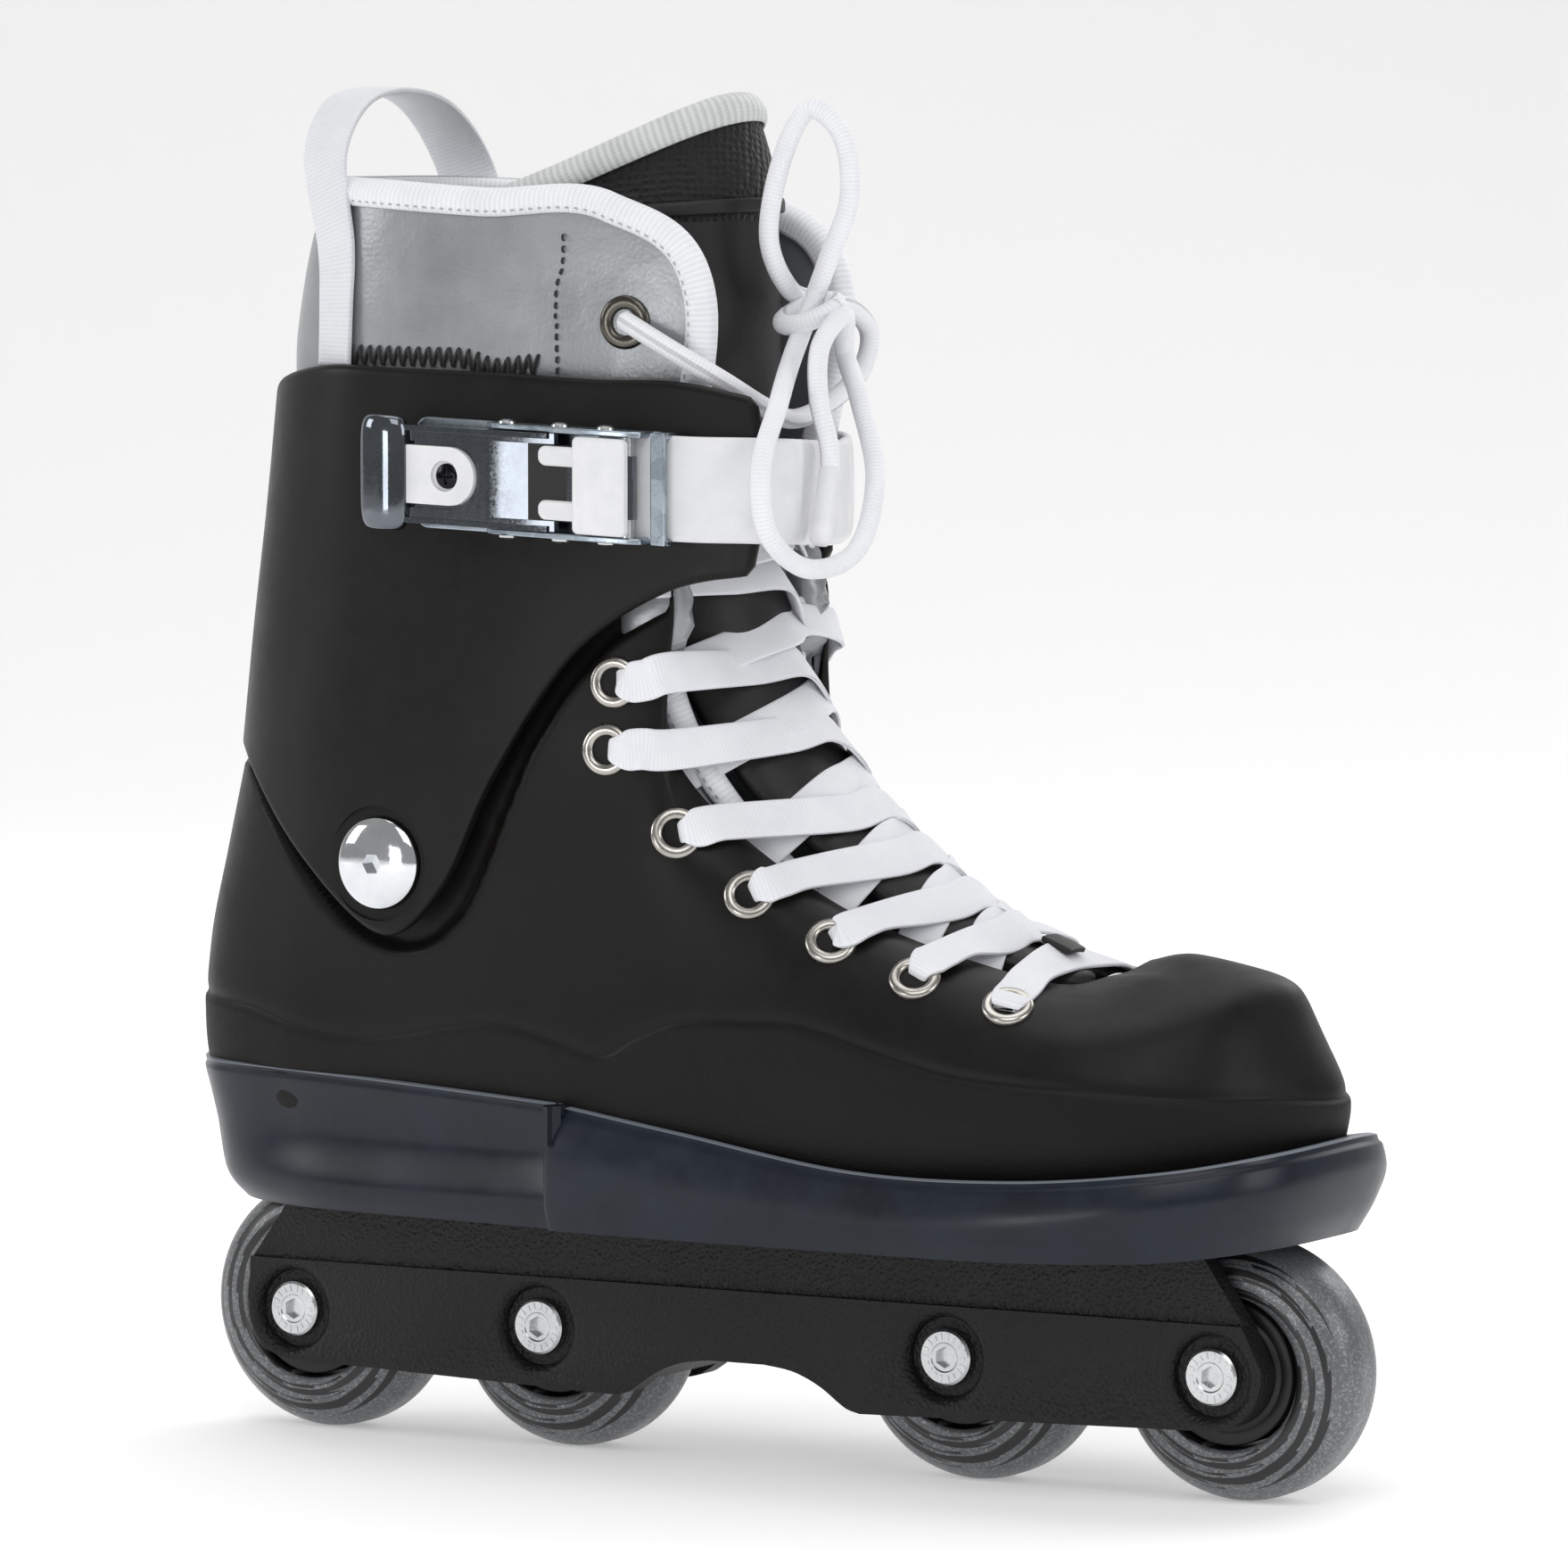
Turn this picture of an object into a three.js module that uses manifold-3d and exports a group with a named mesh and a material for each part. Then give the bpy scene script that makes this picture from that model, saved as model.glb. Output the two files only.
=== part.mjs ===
// An aggressive inline skate for the right foot: a lace-up shell boot with a hinged cuff, a soft liner,
// a soul plate, a one-piece frame and four wheels on ball bearings.
// Millimetres. +X is forward (toe), +Y is the inner side of the foot, +Z is up.
// The model is laid out round the middle of the wheelbase, with the wheels on z = 0, and the last lines
// move it so that its origin is under the centre of its bounding box.
import * as THREE from "three";
import { mergeVertices } from "three/addons/utils/BufferGeometryUtils.js";
import Module from "manifold-3d";

const wasm = await Module();
wasm.setup();

// ---------------------------------------------------------------- driving sizes
const gap = 0.35; // seating clearance between neighbouring pieces
const runningGap = 0.1; // radial clearance of the cuff's and the lever's pivots

const wheelRadius = 30;
const wheelWidth = 24;
const treadRound = 10; // radius that rounds the tread into the side faces
const axleX = [-121.5, -54, 54, 121.5];

const coreRadius = 17;
const coreWidth = 24;
const bearingOuterRadius = 11;
const bearingInnerRadius = 5.6; // outside of the inner ring
const bearingWidth = 7;
const axleRadius = 4;
const axleBoreRadius = 2.9;
const axleHeadRadius = 6.75;
const axleHeadThickness = 2.4;
const hexAcross = 4; // across the flats of every hex socket

const frameHalfWidth = 20.5;
const wellHalfWidth = 13.5; // inside half width where the wheels run
const frameUpperInset = 1.3; // the upper band of the side wall is set back by this
const frameLineZ = 42; // height of the line between the lower and upper band
const deckTopZ = 65;
const boltPocketRadius = 9.6;
const boltPocketDepth = 3.2;
const grindHalfLength = 24; // half the length of the groove between the middle wheels
const grindTopZ = 25.5;
const wheelClearance = 1.2;

const shellBottomZ = 70;
const shellWall = 3.5;
const ankleWall = 7; // shell wall where the cuff is let into it
const pocketDepth = 4.3; // how far the cuff is let into the shell
const linerGap = 2.4;
const linerWall = 4.5;
const footbedThickness = 4;

const frameBoltX = 84;
const frameBoltRadius = 3;
const frameBoltHeadRadius = 6;
const frameBoltHeadThickness = 3;

const cuffWall = 3.4;
const pivot = { x: -79, z: 140 };
const pivotCuffY = { outer: 50, inner: 47.5 }; // outer face of the cuff at the pivot, each side
const pivotBarrelRadius = 7.5;
const pivotHeadRadius = 11;
const pivotDishRadius = 13;
const pivotDishDepth = 1.4;
const pivotBossRadius = 9.6;
const nutBarrelRadius = 5.5;
const nutFlangeRadius = 9;
const nutFlangeThickness = 1.6;
const pivotScrewRadius = 3;

const buckle = { x0: -47, x1: -1, z: 228.5, height: 25.5 };
const strapThickness = 2.2;
const strapHeight = 21.8;
const strapScrewRadius = 2.4;

const laceRadius = 1.6;
const bowLaceRadius = 2.3;

const segments = 24; // round the tyre
const smallSegments = 12; // round the bearings and bolts

// ---------------------------------------------------------------- solids and geometry
const point = (x, y, z) => new THREE.Vector3(x, y, z);

// A closed three.js geometry as a solid. Faces that point inwards are turned round.
function solid(geometry) {
  const bare = geometry.index ? geometry.toNonIndexed() : geometry.clone();
  const plain = new THREE.BufferGeometry().setAttribute("position", bare.getAttribute("position"));
  const merged = mergeVertices(plain, 1e-4);
  const triVerts = new Uint32Array(merged.index.array);
  const build = () =>
    new wasm.Manifold(
      new wasm.Mesh({ numProp: 3, vertProperties: merged.attributes.position.array, triVerts }),
    );
  const made = build();
  if (made.volume() > 0) return made;
  for (let i = 0; i < triVerts.length; i += 3) {
    [triVerts[i + 1], triVerts[i + 2]] = [triVerts[i + 2], triVerts[i + 1]];
  }
  return build();
}

// A solid back as a three.js geometry.
function geometryOf(manifold) {
  const mesh = manifold.getMesh();
  const positions = new Float32Array(mesh.numVert * 3);
  for (let i = 0; i < mesh.numVert; i++) {
    const start = i * mesh.numProp;
    positions.set(mesh.vertProperties.subarray(start, start + 3), i * 3);
  }
  return new THREE.BufferGeometry()
    .setAttribute("position", new THREE.BufferAttribute(positions, 3))
    .setIndex(new THREE.BufferAttribute(mesh.triVerts, 1));
}

function box(x0, x1, y0, y1, z0, z1) {
  const geometry = new THREE.BoxGeometry(x1 - x0, y1 - y0, z1 - z0);
  geometry.translate((x0 + x1) / 2, (y0 + y1) / 2, (z0 + z1) / 2);
  return solid(geometry);
}

// A round bar along Y or Z, from one end to the other.
function bar(axis, radius, from, to, count = smallSegments) {
  const geometry = new THREE.CylinderGeometry(radius, radius, to - from, count);
  if (axis === "z") geometry.rotateX(Math.PI / 2);
  const middle = (from + to) / 2;
  geometry.translate(0, axis === "y" ? middle : 0, axis === "z" ? middle : 0);
  return solid(geometry);
}

// A hexagonal prism along Y, sized across its flats.
const hexBar = (across, from, to) => bar("y", across / Math.sqrt(3), from, to, 6);

// A body turned round the Y axis from [radius, y] pairs. A profile off the axis closes on itself.
function turned(profile, count = smallSegments) {
  const onAxis = profile[0][0] === 0;
  const outline = onAxis ? profile : [...profile, profile[0]];
  return solid(
    new THREE.LatheGeometry(
      outline.map(([r, y]) => new THREE.Vector2(r, y)),
      count,
    ),
  );
}

// An outline in the XZ plane, given thickness from y0 to y1.
function sidePlate(outline, y0, y1) {
  const shape = new THREE.Shape(outline.map(([x, z]) => new THREE.Vector2(x, z)));
  const geometry = new THREE.ExtrudeGeometry(shape, { depth: y1 - y0, bevelEnabled: false });
  geometry.rotateX(Math.PI / 2); // the outline's second number becomes z, the depth runs to -y
  geometry.translate(0, y1, 0);
  return solid(geometry);
}

// ---------------------------------------------------------------- surfaces from control nets
// A net is a list of columns, and a column is a list of [x, y, z] points from its bottom row to its top.

function catmullRom(a, b, c, d, t) {
  const t2 = t * t;
  const t3 = t2 * t;
  return a.map(
    (_, k) =>
      0.5 *
      (2 * b[k] +
        (c[k] - a[k]) * t +
        (2 * a[k] - 5 * b[k] + 4 * c[k] - d[k]) * t2 +
        (3 * b[k] - a[k] - 3 * c[k] + d[k]) * t3),
  );
}

// A smooth curve through points, sampled at count places (count steps if it is closed).
function through(points, count, closed) {
  const last = points.length - 1;
  const at = (i) => {
    if (closed) return points[(i + points.length) % points.length];
    return points[Math.max(0, Math.min(last, i))];
  };
  const spans = closed ? points.length : last;
  const steps = closed ? count : count - 1;
  return Array.from({ length: count }, (_, k) => {
    const s = (k / steps) * spans;
    const i = Math.min(Math.floor(s), spans - 1);
    return catmullRom(at(i - 1), at(i), at(i + 1), at(i + 2), s - i);
  });
}

// rows x columns of points on a net's surface.
function surface(net, rows, columns, closed) {
  const long = net.map((column) => through(column, rows, false));
  return Array.from({ length: rows }, (_, i) =>
    through(
      long.map((column) => column[i]),
      columns,
      closed,
    ),
  );
}

// The net moved along its own normals; depth is a number or a function of the point.
function offsetNet(net, depth, closed = true) {
  const columns = net.length;
  const column = (j) => (closed ? (j + columns) % columns : Math.max(0, Math.min(columns - 1, j)));
  return net.map((list, j) =>
    list.map((p, i) => {
      const up = point(...list[Math.min(i + 1, list.length - 1)]).sub(point(...list[Math.max(i - 1, 0)]));
      const along = point(...net[column(j + 1)][i]).sub(point(...net[column(j - 1)][i]));
      const normal = along.cross(up).normalize();
      const d = typeof depth === "function" ? depth(p) : depth;
      return [p[0] + normal.x * d, p[1] + normal.y * d, p[2] + normal.z * d];
    }),
  );
}

// A closed body between two grids of points of the same size. A floor closes the bottom row with a cap
// on each grid, for a cup, and without one the bottom rows are joined, for a band.
function slab(outer, inner, { closed = false, floor = false } = {}) {
  const rows = outer.length;
  const columns = outer[0].length;
  const corners = [];
  const quad = (a, b, c, d) => corners.push(a, b, c, a, c, d);
  const wrap = closed ? columns : columns - 1;
  for (let i = 0; i < rows - 1; i++) {
    for (let j = 0; j < wrap; j++) {
      const k = (j + 1) % columns;
      quad(outer[i][j], outer[i][k], outer[i + 1][k], outer[i + 1][j]);
      quad(inner[i][j], inner[i + 1][j], inner[i + 1][k], inner[i][k]);
    }
  }
  for (let j = 0; j < wrap; j++) {
    const k = (j + 1) % columns;
    quad(outer[rows - 1][j], outer[rows - 1][k], inner[rows - 1][k], inner[rows - 1][j]);
    if (!floor) quad(outer[0][k], outer[0][j], inner[0][j], inner[0][k]);
  }
  if (!closed) {
    for (let i = 0; i < rows - 1; i++) {
      quad(outer[i][0], outer[i + 1][0], inner[i + 1][0], inner[i][0]);
      const end = columns - 1;
      quad(outer[i + 1][end], outer[i][end], inner[i][end], inner[i + 1][end]);
    }
  }
  if (floor) {
    for (const [grid, turn] of [
      [outer, false],
      [inner, true],
    ]) {
      for (const [a, b, c] of capTriangles(grid[0])) {
        if (turn) corners.push(grid[0][a], grid[0][b], grid[0][c]);
        else corners.push(grid[0][a], grid[0][c], grid[0][b]);
      }
    }
  }
  return solid(
    new THREE.BufferGeometry().setAttribute(
      "position",
      new THREE.Float32BufferAttribute(corners.flat(), 3),
    ),
  );
}

// Triangles that close a level ring, counter-clockwise seen from above.
function capTriangles(ring) {
  const flat = ring.map((p) => new THREE.Vector2(p[0], p[1]));
  const triangles = THREE.ShapeUtils.triangulateShape(flat, []);
  return THREE.ShapeUtils.isClockWise(flat) ? triangles.map(([a, b, c]) => [a, c, b]) : triangles;
}

// The solid inside a closed net, between level bottom and top caps.
function filled(grid) {
  const corners = [];
  const columns = grid[0].length;
  for (let i = 0; i < grid.length - 1; i++) {
    for (let j = 0; j < columns; j++) {
      const k = (j + 1) % columns;
      const [a, b, c, d] = [grid[i][j], grid[i][k], grid[i + 1][k], grid[i + 1][j]];
      corners.push(a, b, c, a, c, d);
    }
  }
  const top = grid[grid.length - 1];
  const crown = top
    .reduce((sum, p) => [sum[0] + p[0], sum[1] + p[1], Math.max(sum[2], p[2])], [0, 0, 0])
    .map((value, k) => (k < 2 ? value / columns : value));
  for (let j = 0; j < columns; j++) corners.push(top[j], top[(j + 1) % columns], crown);
  for (const [a, b, c] of capTriangles(grid[0])) corners.push(grid[0][a], grid[0][c], grid[0][b]);
  return solid(
    new THREE.BufferGeometry().setAttribute(
      "position",
      new THREE.Float32BufferAttribute(corners.flat(), 3),
    ),
  );
}

// Both sides of a half net: its first and last columns lie near the middle plane and aren't doubled.
function bothSides(half, innerShare, innerShift = () => 0) {
  const mirrored = half
    .slice(1, -1)
    .reverse()
    .map((column) => column.map(([x, y, z]) => [x + innerShift(x, z), -y * innerShare, z]));
  return [...half, ...mirrored];
}

// A strip of cloth or plastic along a path: width across, thickness outwards.
function strip(path, across, width, thickness, count) {
  const centre = through(path, count, false);
  const side = through(across, count, false);
  const row = (offset, lift) =>
    centre.map((p, i) => {
      const before = point(...centre[Math.max(i - 1, 0)]);
      const run = point(...centre[Math.min(i + 1, count - 1)]).sub(before).normalize();
      const s = point(...side[i]);
      s.addScaledVector(run, -s.dot(run)).normalize();
      const out = new THREE.Vector3().crossVectors(run, s).normalize();
      return point(...p).addScaledVector(s, offset).addScaledVector(out, lift).toArray();
    });
  const lower = [row(-width / 2, 0), row(width / 2, 0)];
  const upper = [row(-width / 2, thickness), row(width / 2, thickness)];
  return slab(upper, lower);
}

// A cord: a round section carried along a smooth path.
function cord(path, radius, steps) {
  const curve = new THREE.CatmullRomCurve3(path.map((p) => point(...p)));
  const section = new THREE.Shape();
  section.absarc(0, 0, radius, 0, Math.PI * 2);
  return solid(
    new THREE.ExtrudeGeometry(section, { steps, curveSegments: 4, extrudePath: curve, bevelEnabled: false }),
  );
}

// ---------------------------------------------------------------- the boot's shape
// The outer face of the shell, outer side only, from the heel's middle round to the toe's tip.
const shellHalf = [
  [[-144, 0, 70], [-149, 0, 82], [-151, 0, 98], [-150.5, 0, 118], [-146, 0, 140], [-141, 0, 160], [-134, 0, 187]],
  [[-132, -23, 70], [-137, -27, 82], [-138.5, -28, 98], [-137.5, -28.5, 118], [-132, -29, 141], [-127, -29.5, 162], [-121, -29, 190]],
  [[-111, -33, 70], [-113, -37.5, 82], [-113.5, -39, 98], [-112, -40, 119], [-108, -42, 142], [-104, -42.5, 166], [-100, -41.5, 194]],
  [[-80, -35, 70], [-80, -39.5, 82], [-80, -42, 98], [-80, -44, 119], [-79, -47, 142], [-76, -47, 168], [-72, -45, 198]],
  [[-44, -38, 70], [-44, -43, 82], [-44, -44.5, 98], [-43, -45.5, 120], [-41, -47, 146], [-38, -47, 174], [-35, -44, 202]],
  [[-10, -42, 70], [-10, -46.5, 82], [-10, -47, 98], [-10, -46.5, 120], [-11, -46, 147], [-12, -42.5, 176], [-8, -38, 205]],
  [[22, -44.5, 70], [22, -48.5, 82], [21, -48.5, 98], [17, -46, 118], [9, -43, 137], [0, -40, 152], [-6.5, -37, 166]],
  [[60, -45, 70], [60, -48.5, 82], [59, -47.5, 96], [55, -44, 110], [47, -39, 121], [38, -33.5, 129], [28.6, -28, 134.5]],
  [[103, -39, 70], [103, -42.5, 82], [102, -41.5, 94], [98, -37.5, 104], [92, -31, 111], [84, -24.5, 115], [76, -18, 117.5]],
  [[128, -22, 70], [130, -25, 82], [129.5, -24.5, 93], [124, -22, 106], [116, -17.5, 115], [106, -13, 119], [92, -9, 118.5]],
  [[137, 4, 70], [140.5, 4, 82], [141.5, 4, 93], [134, 3, 107], [124, 2, 117.5], [108, 0, 123], [97, 0, 121.5]],
];
const innerShare = 0.95; // the inner side is a little narrower
const shellNet = bothSides(shellHalf, innerShare);

// The liner above the shell: two more rows on each column of the half net, up the collar at the back
// and along the edges of its own throat at the front.
const collarHalf = [
  [[-126.5, 0, 250], [-117, 0, 297]],
  [[-115, -25, 251], [-108, -24.5, 297]],
  [[-93, -36.5, 252], [-88, -36, 296]],
  [[-60, -39, 252], [-57, -38, 294]],
  [[-28, -38.5, 250], [-28, -37.5, 289]],
  [[-4, -35.5, 238], [-3, -35, 262]],
  [[-12, -29.5, 181], [-10, -28.5, 198]],
  [[24, -21.5, 133], [22, -19, 135]],
  [[72, -12, 112.5], [70.5, -9.5, 113.5]],
  [[87, -6, 113.5], [84.5, -4.5, 114]],
  [[90, 0, 116], [86.5, 0, 116.2]],
];

// The cuff's outer face, from its outer front edge round the heel to its inner front edge.
const cuffNet = [
  [[15.4, -43.5, 210], [17.5, -43, 222], [18, -42.5, 236], [15.5, -42, 247.5]],
  [[-4, -46.5, 204.8], [-3, -46.5, 220], [-2, -46, 236], [-2, -44.5, 250.7]],
  [[-27, -48.5, 189.4], [-26, -48.5, 210], [-25, -47.5, 231], [-24, -45.5, 251]],
  [[-47.5, -50.3, 163], [-46, -50, 193], [-44, -48.5, 223], [-43, -46, 252]],
  [[-62, -50.5, 136], [-60, -50.6, 175], [-58, -49, 214], [-57, -46, 252.5]],
  [[-79, -49.8, 125], [-78, -50.2, 168], [-77, -48.5, 211], [-76, -45.5, 253]],
  [[-104, -45.5, 143], [-102, -45.3, 180], [-100, -44, 217], [-98, -42, 253.5]],
  [[-127.5, -30, 163.7], [-124.5, -30, 193], [-121.5, -29, 222], [-119, -28, 250]],
  [[-142, 0, 164], [-138.5, 0, 191], [-135, 0, 218], [-132.5, 0, 244]],
  [[-127.5, 28.5, 163.7], [-124.5, 28.5, 193], [-121.5, 28, 222], [-119, 27, 250]],
  [[-104, 43.2, 143], [-102, 43, 180], [-100, 42, 217], [-98, 40, 253.5]],
  [[-79, 47.4, 125], [-78, 47.7, 168], [-77, 46.2, 211], [-76, 43.2, 253]],
  [[-64, 48, 136], [-64, 48, 175], [-63, 46.5, 214], [-62, 43.7, 252.5]],
  [[-51, 47.6, 163], [-51, 47.4, 193], [-51, 46, 223], [-51, 43.5, 252]],
  [[-36, 46, 189.4], [-37, 46, 210], [-38, 45, 231], [-38, 42.7, 251]],
  [[-22, 43.8, 204.8], [-23, 43.8, 220], [-24, 43, 236], [-24, 41.5, 250.7]],
  [[-9, 41, 210], [-9, 41, 222], [-9.5, 40.5, 236], [-11, 39.5, 247.5]],
];

// The line in side view below which the shell stands proud of the cuff, from heel to throat.
const pocketLine = [
  [-175, 161.4], [-125.3, 161.4], [-117, 153], [-103, 137], [-92, 126], [-79.6, 120.6], [-69, 121.8],
  [-59.5, 129], [-53.5, 139], [-47.5, 152], [-40.5, 165.5], [-30.5, 178.5], [-20, 190], [-6, 200], [14, 206],
];

// The soul plate's outer face, outer side only, from the heel's middle round to the toe's tip.
const soleHalf = [
  [[-143, 0, 57], [-147, 0, 63], [-149.5, 0, 76], [-152.5, 0, 89.7]],
  [[-131, -24, 57], [-134, -27.5, 63], [-135.5, -29, 76], [-138, -31.5, 90]],
  [[-109, -36.5, 57], [-110, -39, 63.5], [-110.5, -37, 76], [-112, -40.5, 89.7]],
  [[-80, -41, 57], [-80, -43.5, 63.5], [-80, -40.5, 75], [-80, -44, 88.5]],
  [[-37, -45.5, 57], [-36, -47.8, 64], [-36, -45, 75], [-36, -48, 86.2]],
  [[-31.5, -49, 57], [-31.5, -51.5, 64], [-31.5, -51.8, 76], [-31, -48.8, 85.7]],
  [[2, -51, 57], [2, -53.3, 64], [1, -53.6, 72], [2, -51, 81.2]],
  [[45, -51.5, 57], [46, -54, 62], [46, -54.6, 66.5], [46, -52.6, 75.2]],
  [[85, -50.5, 57], [86, -53.3, 62], [86, -54, 67], [86, -51.8, 75]],
  [[118, -43, 58], [120, -45.8, 65], [121, -47, 71], [120, -45, 78]],
  [[137, -25, 60], [140, -27.5, 67], [142, -29, 74], [141, -27.5, 81.5]],
  [[141, 5, 60.5], [145.5, 5, 67], [148, 5, 76], [146.5, 5, 83]],
];

// The middle line of the tongue's face, from its toe end to its tip: x, z, half width, depth of the arch.
const tongueStations = [
  [79, 118.5, 7, 2.5], [68, 123, 10, 4], [54, 130.5, 14, 6], [31, 148, 17, 9], [15, 164, 20.5, 12],
  [4, 183, 22, 16], [-2, 205, 25, 22], [-3.5, 230, 28, 30], [-3, 255, 29, 36], [-3, 280, 29.5, 42],
  [-4, 299, 29, 46], [-9, 316, 27, 46],
];
const tongueThickness = 4;

const shellEyelets = [
  [77.5, 112.7], [55.5, 118.5], [35, 126], [15.6, 136], [-2.9, 149.5], [-17.5, 167.8], [-19.5, 185],
];

// ---------------------------------------------------------------- wheels
function tyre() {
  const half = wheelWidth / 2;
  const bore = coreRadius + gap;
  const profile = [[bore, -half + 1.2], [bore, half - 1.2]];
  for (let i = 0; i <= 4; i++) {
    const angle = (i / 4) * (Math.PI / 2);
    const y = half - treadRound + treadRound * Math.cos(angle);
    profile.push([wheelRadius - treadRound + treadRound * Math.sin(angle), y]);
  }
  const mirrored = profile.slice(2).reverse().map(([r, y]) => [r, -y]);
  return turned([...profile, ...mirrored], segments);
}

function core() {
  const half = coreWidth / 2;
  const seat = bearingOuterRadius + gap / 3;
  const shoulder = half - bearingWidth - gap / 3;
  return turned([
    [coreRadius - 2.5, -half], [coreRadius, -half + 1.8], [coreRadius, half - 1.8], [coreRadius - 2.5, half],
    [seat, half], [seat, shoulder], [9.3, shoulder], [9.3, -shoulder], [seat, -shoulder], [seat, -half],
  ]);
}

const ring = (inner, outer, from, to) =>
  turned([[inner, from], [outer, from], [outer, to], [inner, to]], smallSegments);

// A screw head at the end of a shank along Y: the head faces -Y when side is -1.
function hexHead(side, face) {
  const edge = face + side * axleHeadThickness;
  const head = bar("y", axleHeadRadius, Math.min(face, edge), Math.max(face, edge));
  const tip = edge + side;
  const depth = edge - side * 1.7;
  return head.subtract(hexBar(hexAcross, Math.min(tip, depth), Math.max(tip, depth)));
}

const pocketFloor = frameHalfWidth - boltPocketDepth;
const headSeat = pocketFloor + 0.1;

function axle() {
  const shank = bar("y", axleRadius, -headSeat, pocketFloor - 0.6);
  const bore = bar("y", axleBoreRadius, 0, pocketFloor + 1);
  return hexHead(-1, -headSeat).add(shank).subtract(bore);
}

const axleScrew = () => hexHead(1, headSeat).add(bar("y", axleBoreRadius - gap, 1.5, headSeat + 0.1));

// ---------------------------------------------------------------- frame and sole
function frameOutline() {
  const round = (cx, cz, r, from, to, count) =>
    Array.from({ length: count + 1 }, (_, i) => {
      const angle = ((from + ((to - from) * i) / count) * Math.PI) / 180;
      return [cx + r * Math.cos(angle), cz + r * Math.sin(angle)];
    });
  const rise = [[1.35, 15.6], [1.12, 17.8], [0.9, 21.4], [0.62, 24.2], [0.3, grindTopZ - 0.2]];
  const groove = [...rise, ...rise.map(([x, z]) => [-x, z]).reverse()];
  return [
    ...round(axleX[0], 30, 12, 180, 270, 4),
    ...groove.map(([x, z]) => [-x * grindHalfLength, z]),
    ...round(axleX[3], 31, 13.1, 275, 365, 4),
    [129.7, frameLineZ], [119.6, 56.8], [117, deckTopZ], [-119, deckTopZ], [-122, 57.5], [-125, 53],
    [-133, frameLineZ],
  ];
}

function frame() {
  const w = frameHalfWidth;
  let body = sidePlate(frameOutline(), -w, w);
  const wellRadius = wheelRadius + wheelClearance;
  const wellTop = 30 + wellRadius;
  for (const x of axleX) {
    const end = x < 0 ? Math.max(-150, x - 45) : x;
    body = body.subtract(bar("y", wellRadius, -wellHalfWidth, wellHalfWidth, 32).translate(x, 0, 30));
    if (Math.abs(x) < 100) continue;
    const inner = (x / Math.abs(x)) * 54;
    const [from, to] = x < 0 ? [-150, inner] : [inner, 150];
    body = body.subtract(box(from, to, -wellHalfWidth, wellHalfWidth, 0, wellTop));
  }
  for (const side of [-1, 1]) {
    const [from, to] = side < 0 ? [-w - 1, -w + frameUpperInset] : [w - frameUpperInset, w + 1];
    body = body.subtract(box(-150, 150, from, to, frameLineZ, deckTopZ + 1));
  }
  for (const x of axleX) {
    for (const side of [-1, 1]) {
      const boss = bar("y", axleRadius + 3.2, coreWidth / 2 + 0.3, wellHalfWidth + 1);
      body = body.add(boss.mirror([0, side < 0 ? 1 : 0, 0]).translate(x, 0, 30));
    }
    const pocket = bar("y", boltPocketRadius, pocketFloor, w + 1);
    body = body.subtract(pocket.translate(x, 0, 30));
    body = body.subtract(pocket.mirror([0, 1, 0]).translate(x, 0, 30));
    body = body.subtract(bar("y", axleRadius + gap, -w - 1, w + 1).translate(x, 0, 30));
  }
  for (const x of [-frameBoltX, frameBoltX]) {
    body = body.subtract(bar("z", frameBoltRadius + gap, 50, deckTopZ + 1).translate(x, 0, 0));
  }
  return body;
}

function frameBolt() {
  const under = 30 + wheelRadius + wheelClearance - 0.1;
  const head = bar("z", frameBoltHeadRadius, under - frameBoltHeadThickness, under);
  const socket = bar("z", hexAcross / Math.sqrt(3), under - 4, under - frameBoltHeadThickness + 1.8, 6);
  const shank = bar("z", frameBoltRadius, under - 0.1, shellBottomZ + shellWall - 0.4);
  return head.subtract(socket).add(shank);
}

const fine = { rows: 11, columns: 36 };
const gridOf = (net, rows = fine.rows) => surface(net, rows, fine.columns, true);

function soulPlate() {
  const outside = filled(gridOf(bothSides(soleHalf, 0.98), 9));
  const seat = filled(gridOf(offsetNet(shellNet, gap).map(sunk)));
  let body = outside.subtract(seat);
  const half = frameHalfWidth - frameUpperInset + gap;
  body = body.subtract(box(-137, 137, -half, half, 40, deckTopZ + gap));
  for (const x of [-frameBoltX, frameBoltX]) {
    body = body.subtract(bar("z", frameBoltRadius + gap, 50, 80).translate(x, 0, 0));
  }
  return body;
}

// The bottom row lowered by the seating clearance.
const sunk = (column) => column.map((p, i) => (i === 0 ? [p[0], p[1], shellBottomZ - gap] : p));

// ---------------------------------------------------------------- boot
const smooth = (from, to, value) => {
  const t = Math.max(0, Math.min(1, (value - from) / (to - from)));
  return t * t * (3 - 2 * t);
};

// The shell is thicker round the ankle, where the cuff is let into its face.
const wallAt = ([x, , z]) => shellWall + (ankleWall - shellWall) * smooth(100, 124, z) * smooth(-12, -34, x);

const raised = (z) => (column) => column.map((p, i) => (i === 0 ? [p[0], p[1], z] : p));
const shellInner = offsetNet(shellNet, (p) => -wallAt(p)).map(raised(shellBottomZ + shellWall));

// A wall of the cuff's shape, grown on both faces, to cut the room the cuff moves in.
function cuffRoom() {
  const across = [...pocketLine, [40, 320], [-175, 320]];
  const inside = filled(gridOf(offsetNet(shellNet, (p) => -pocketDepth)));
  return sidePlate(across, -80, 80).subtract(inside.add(box(-8, 160, -80, 80, 40, 330)));
}

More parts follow.
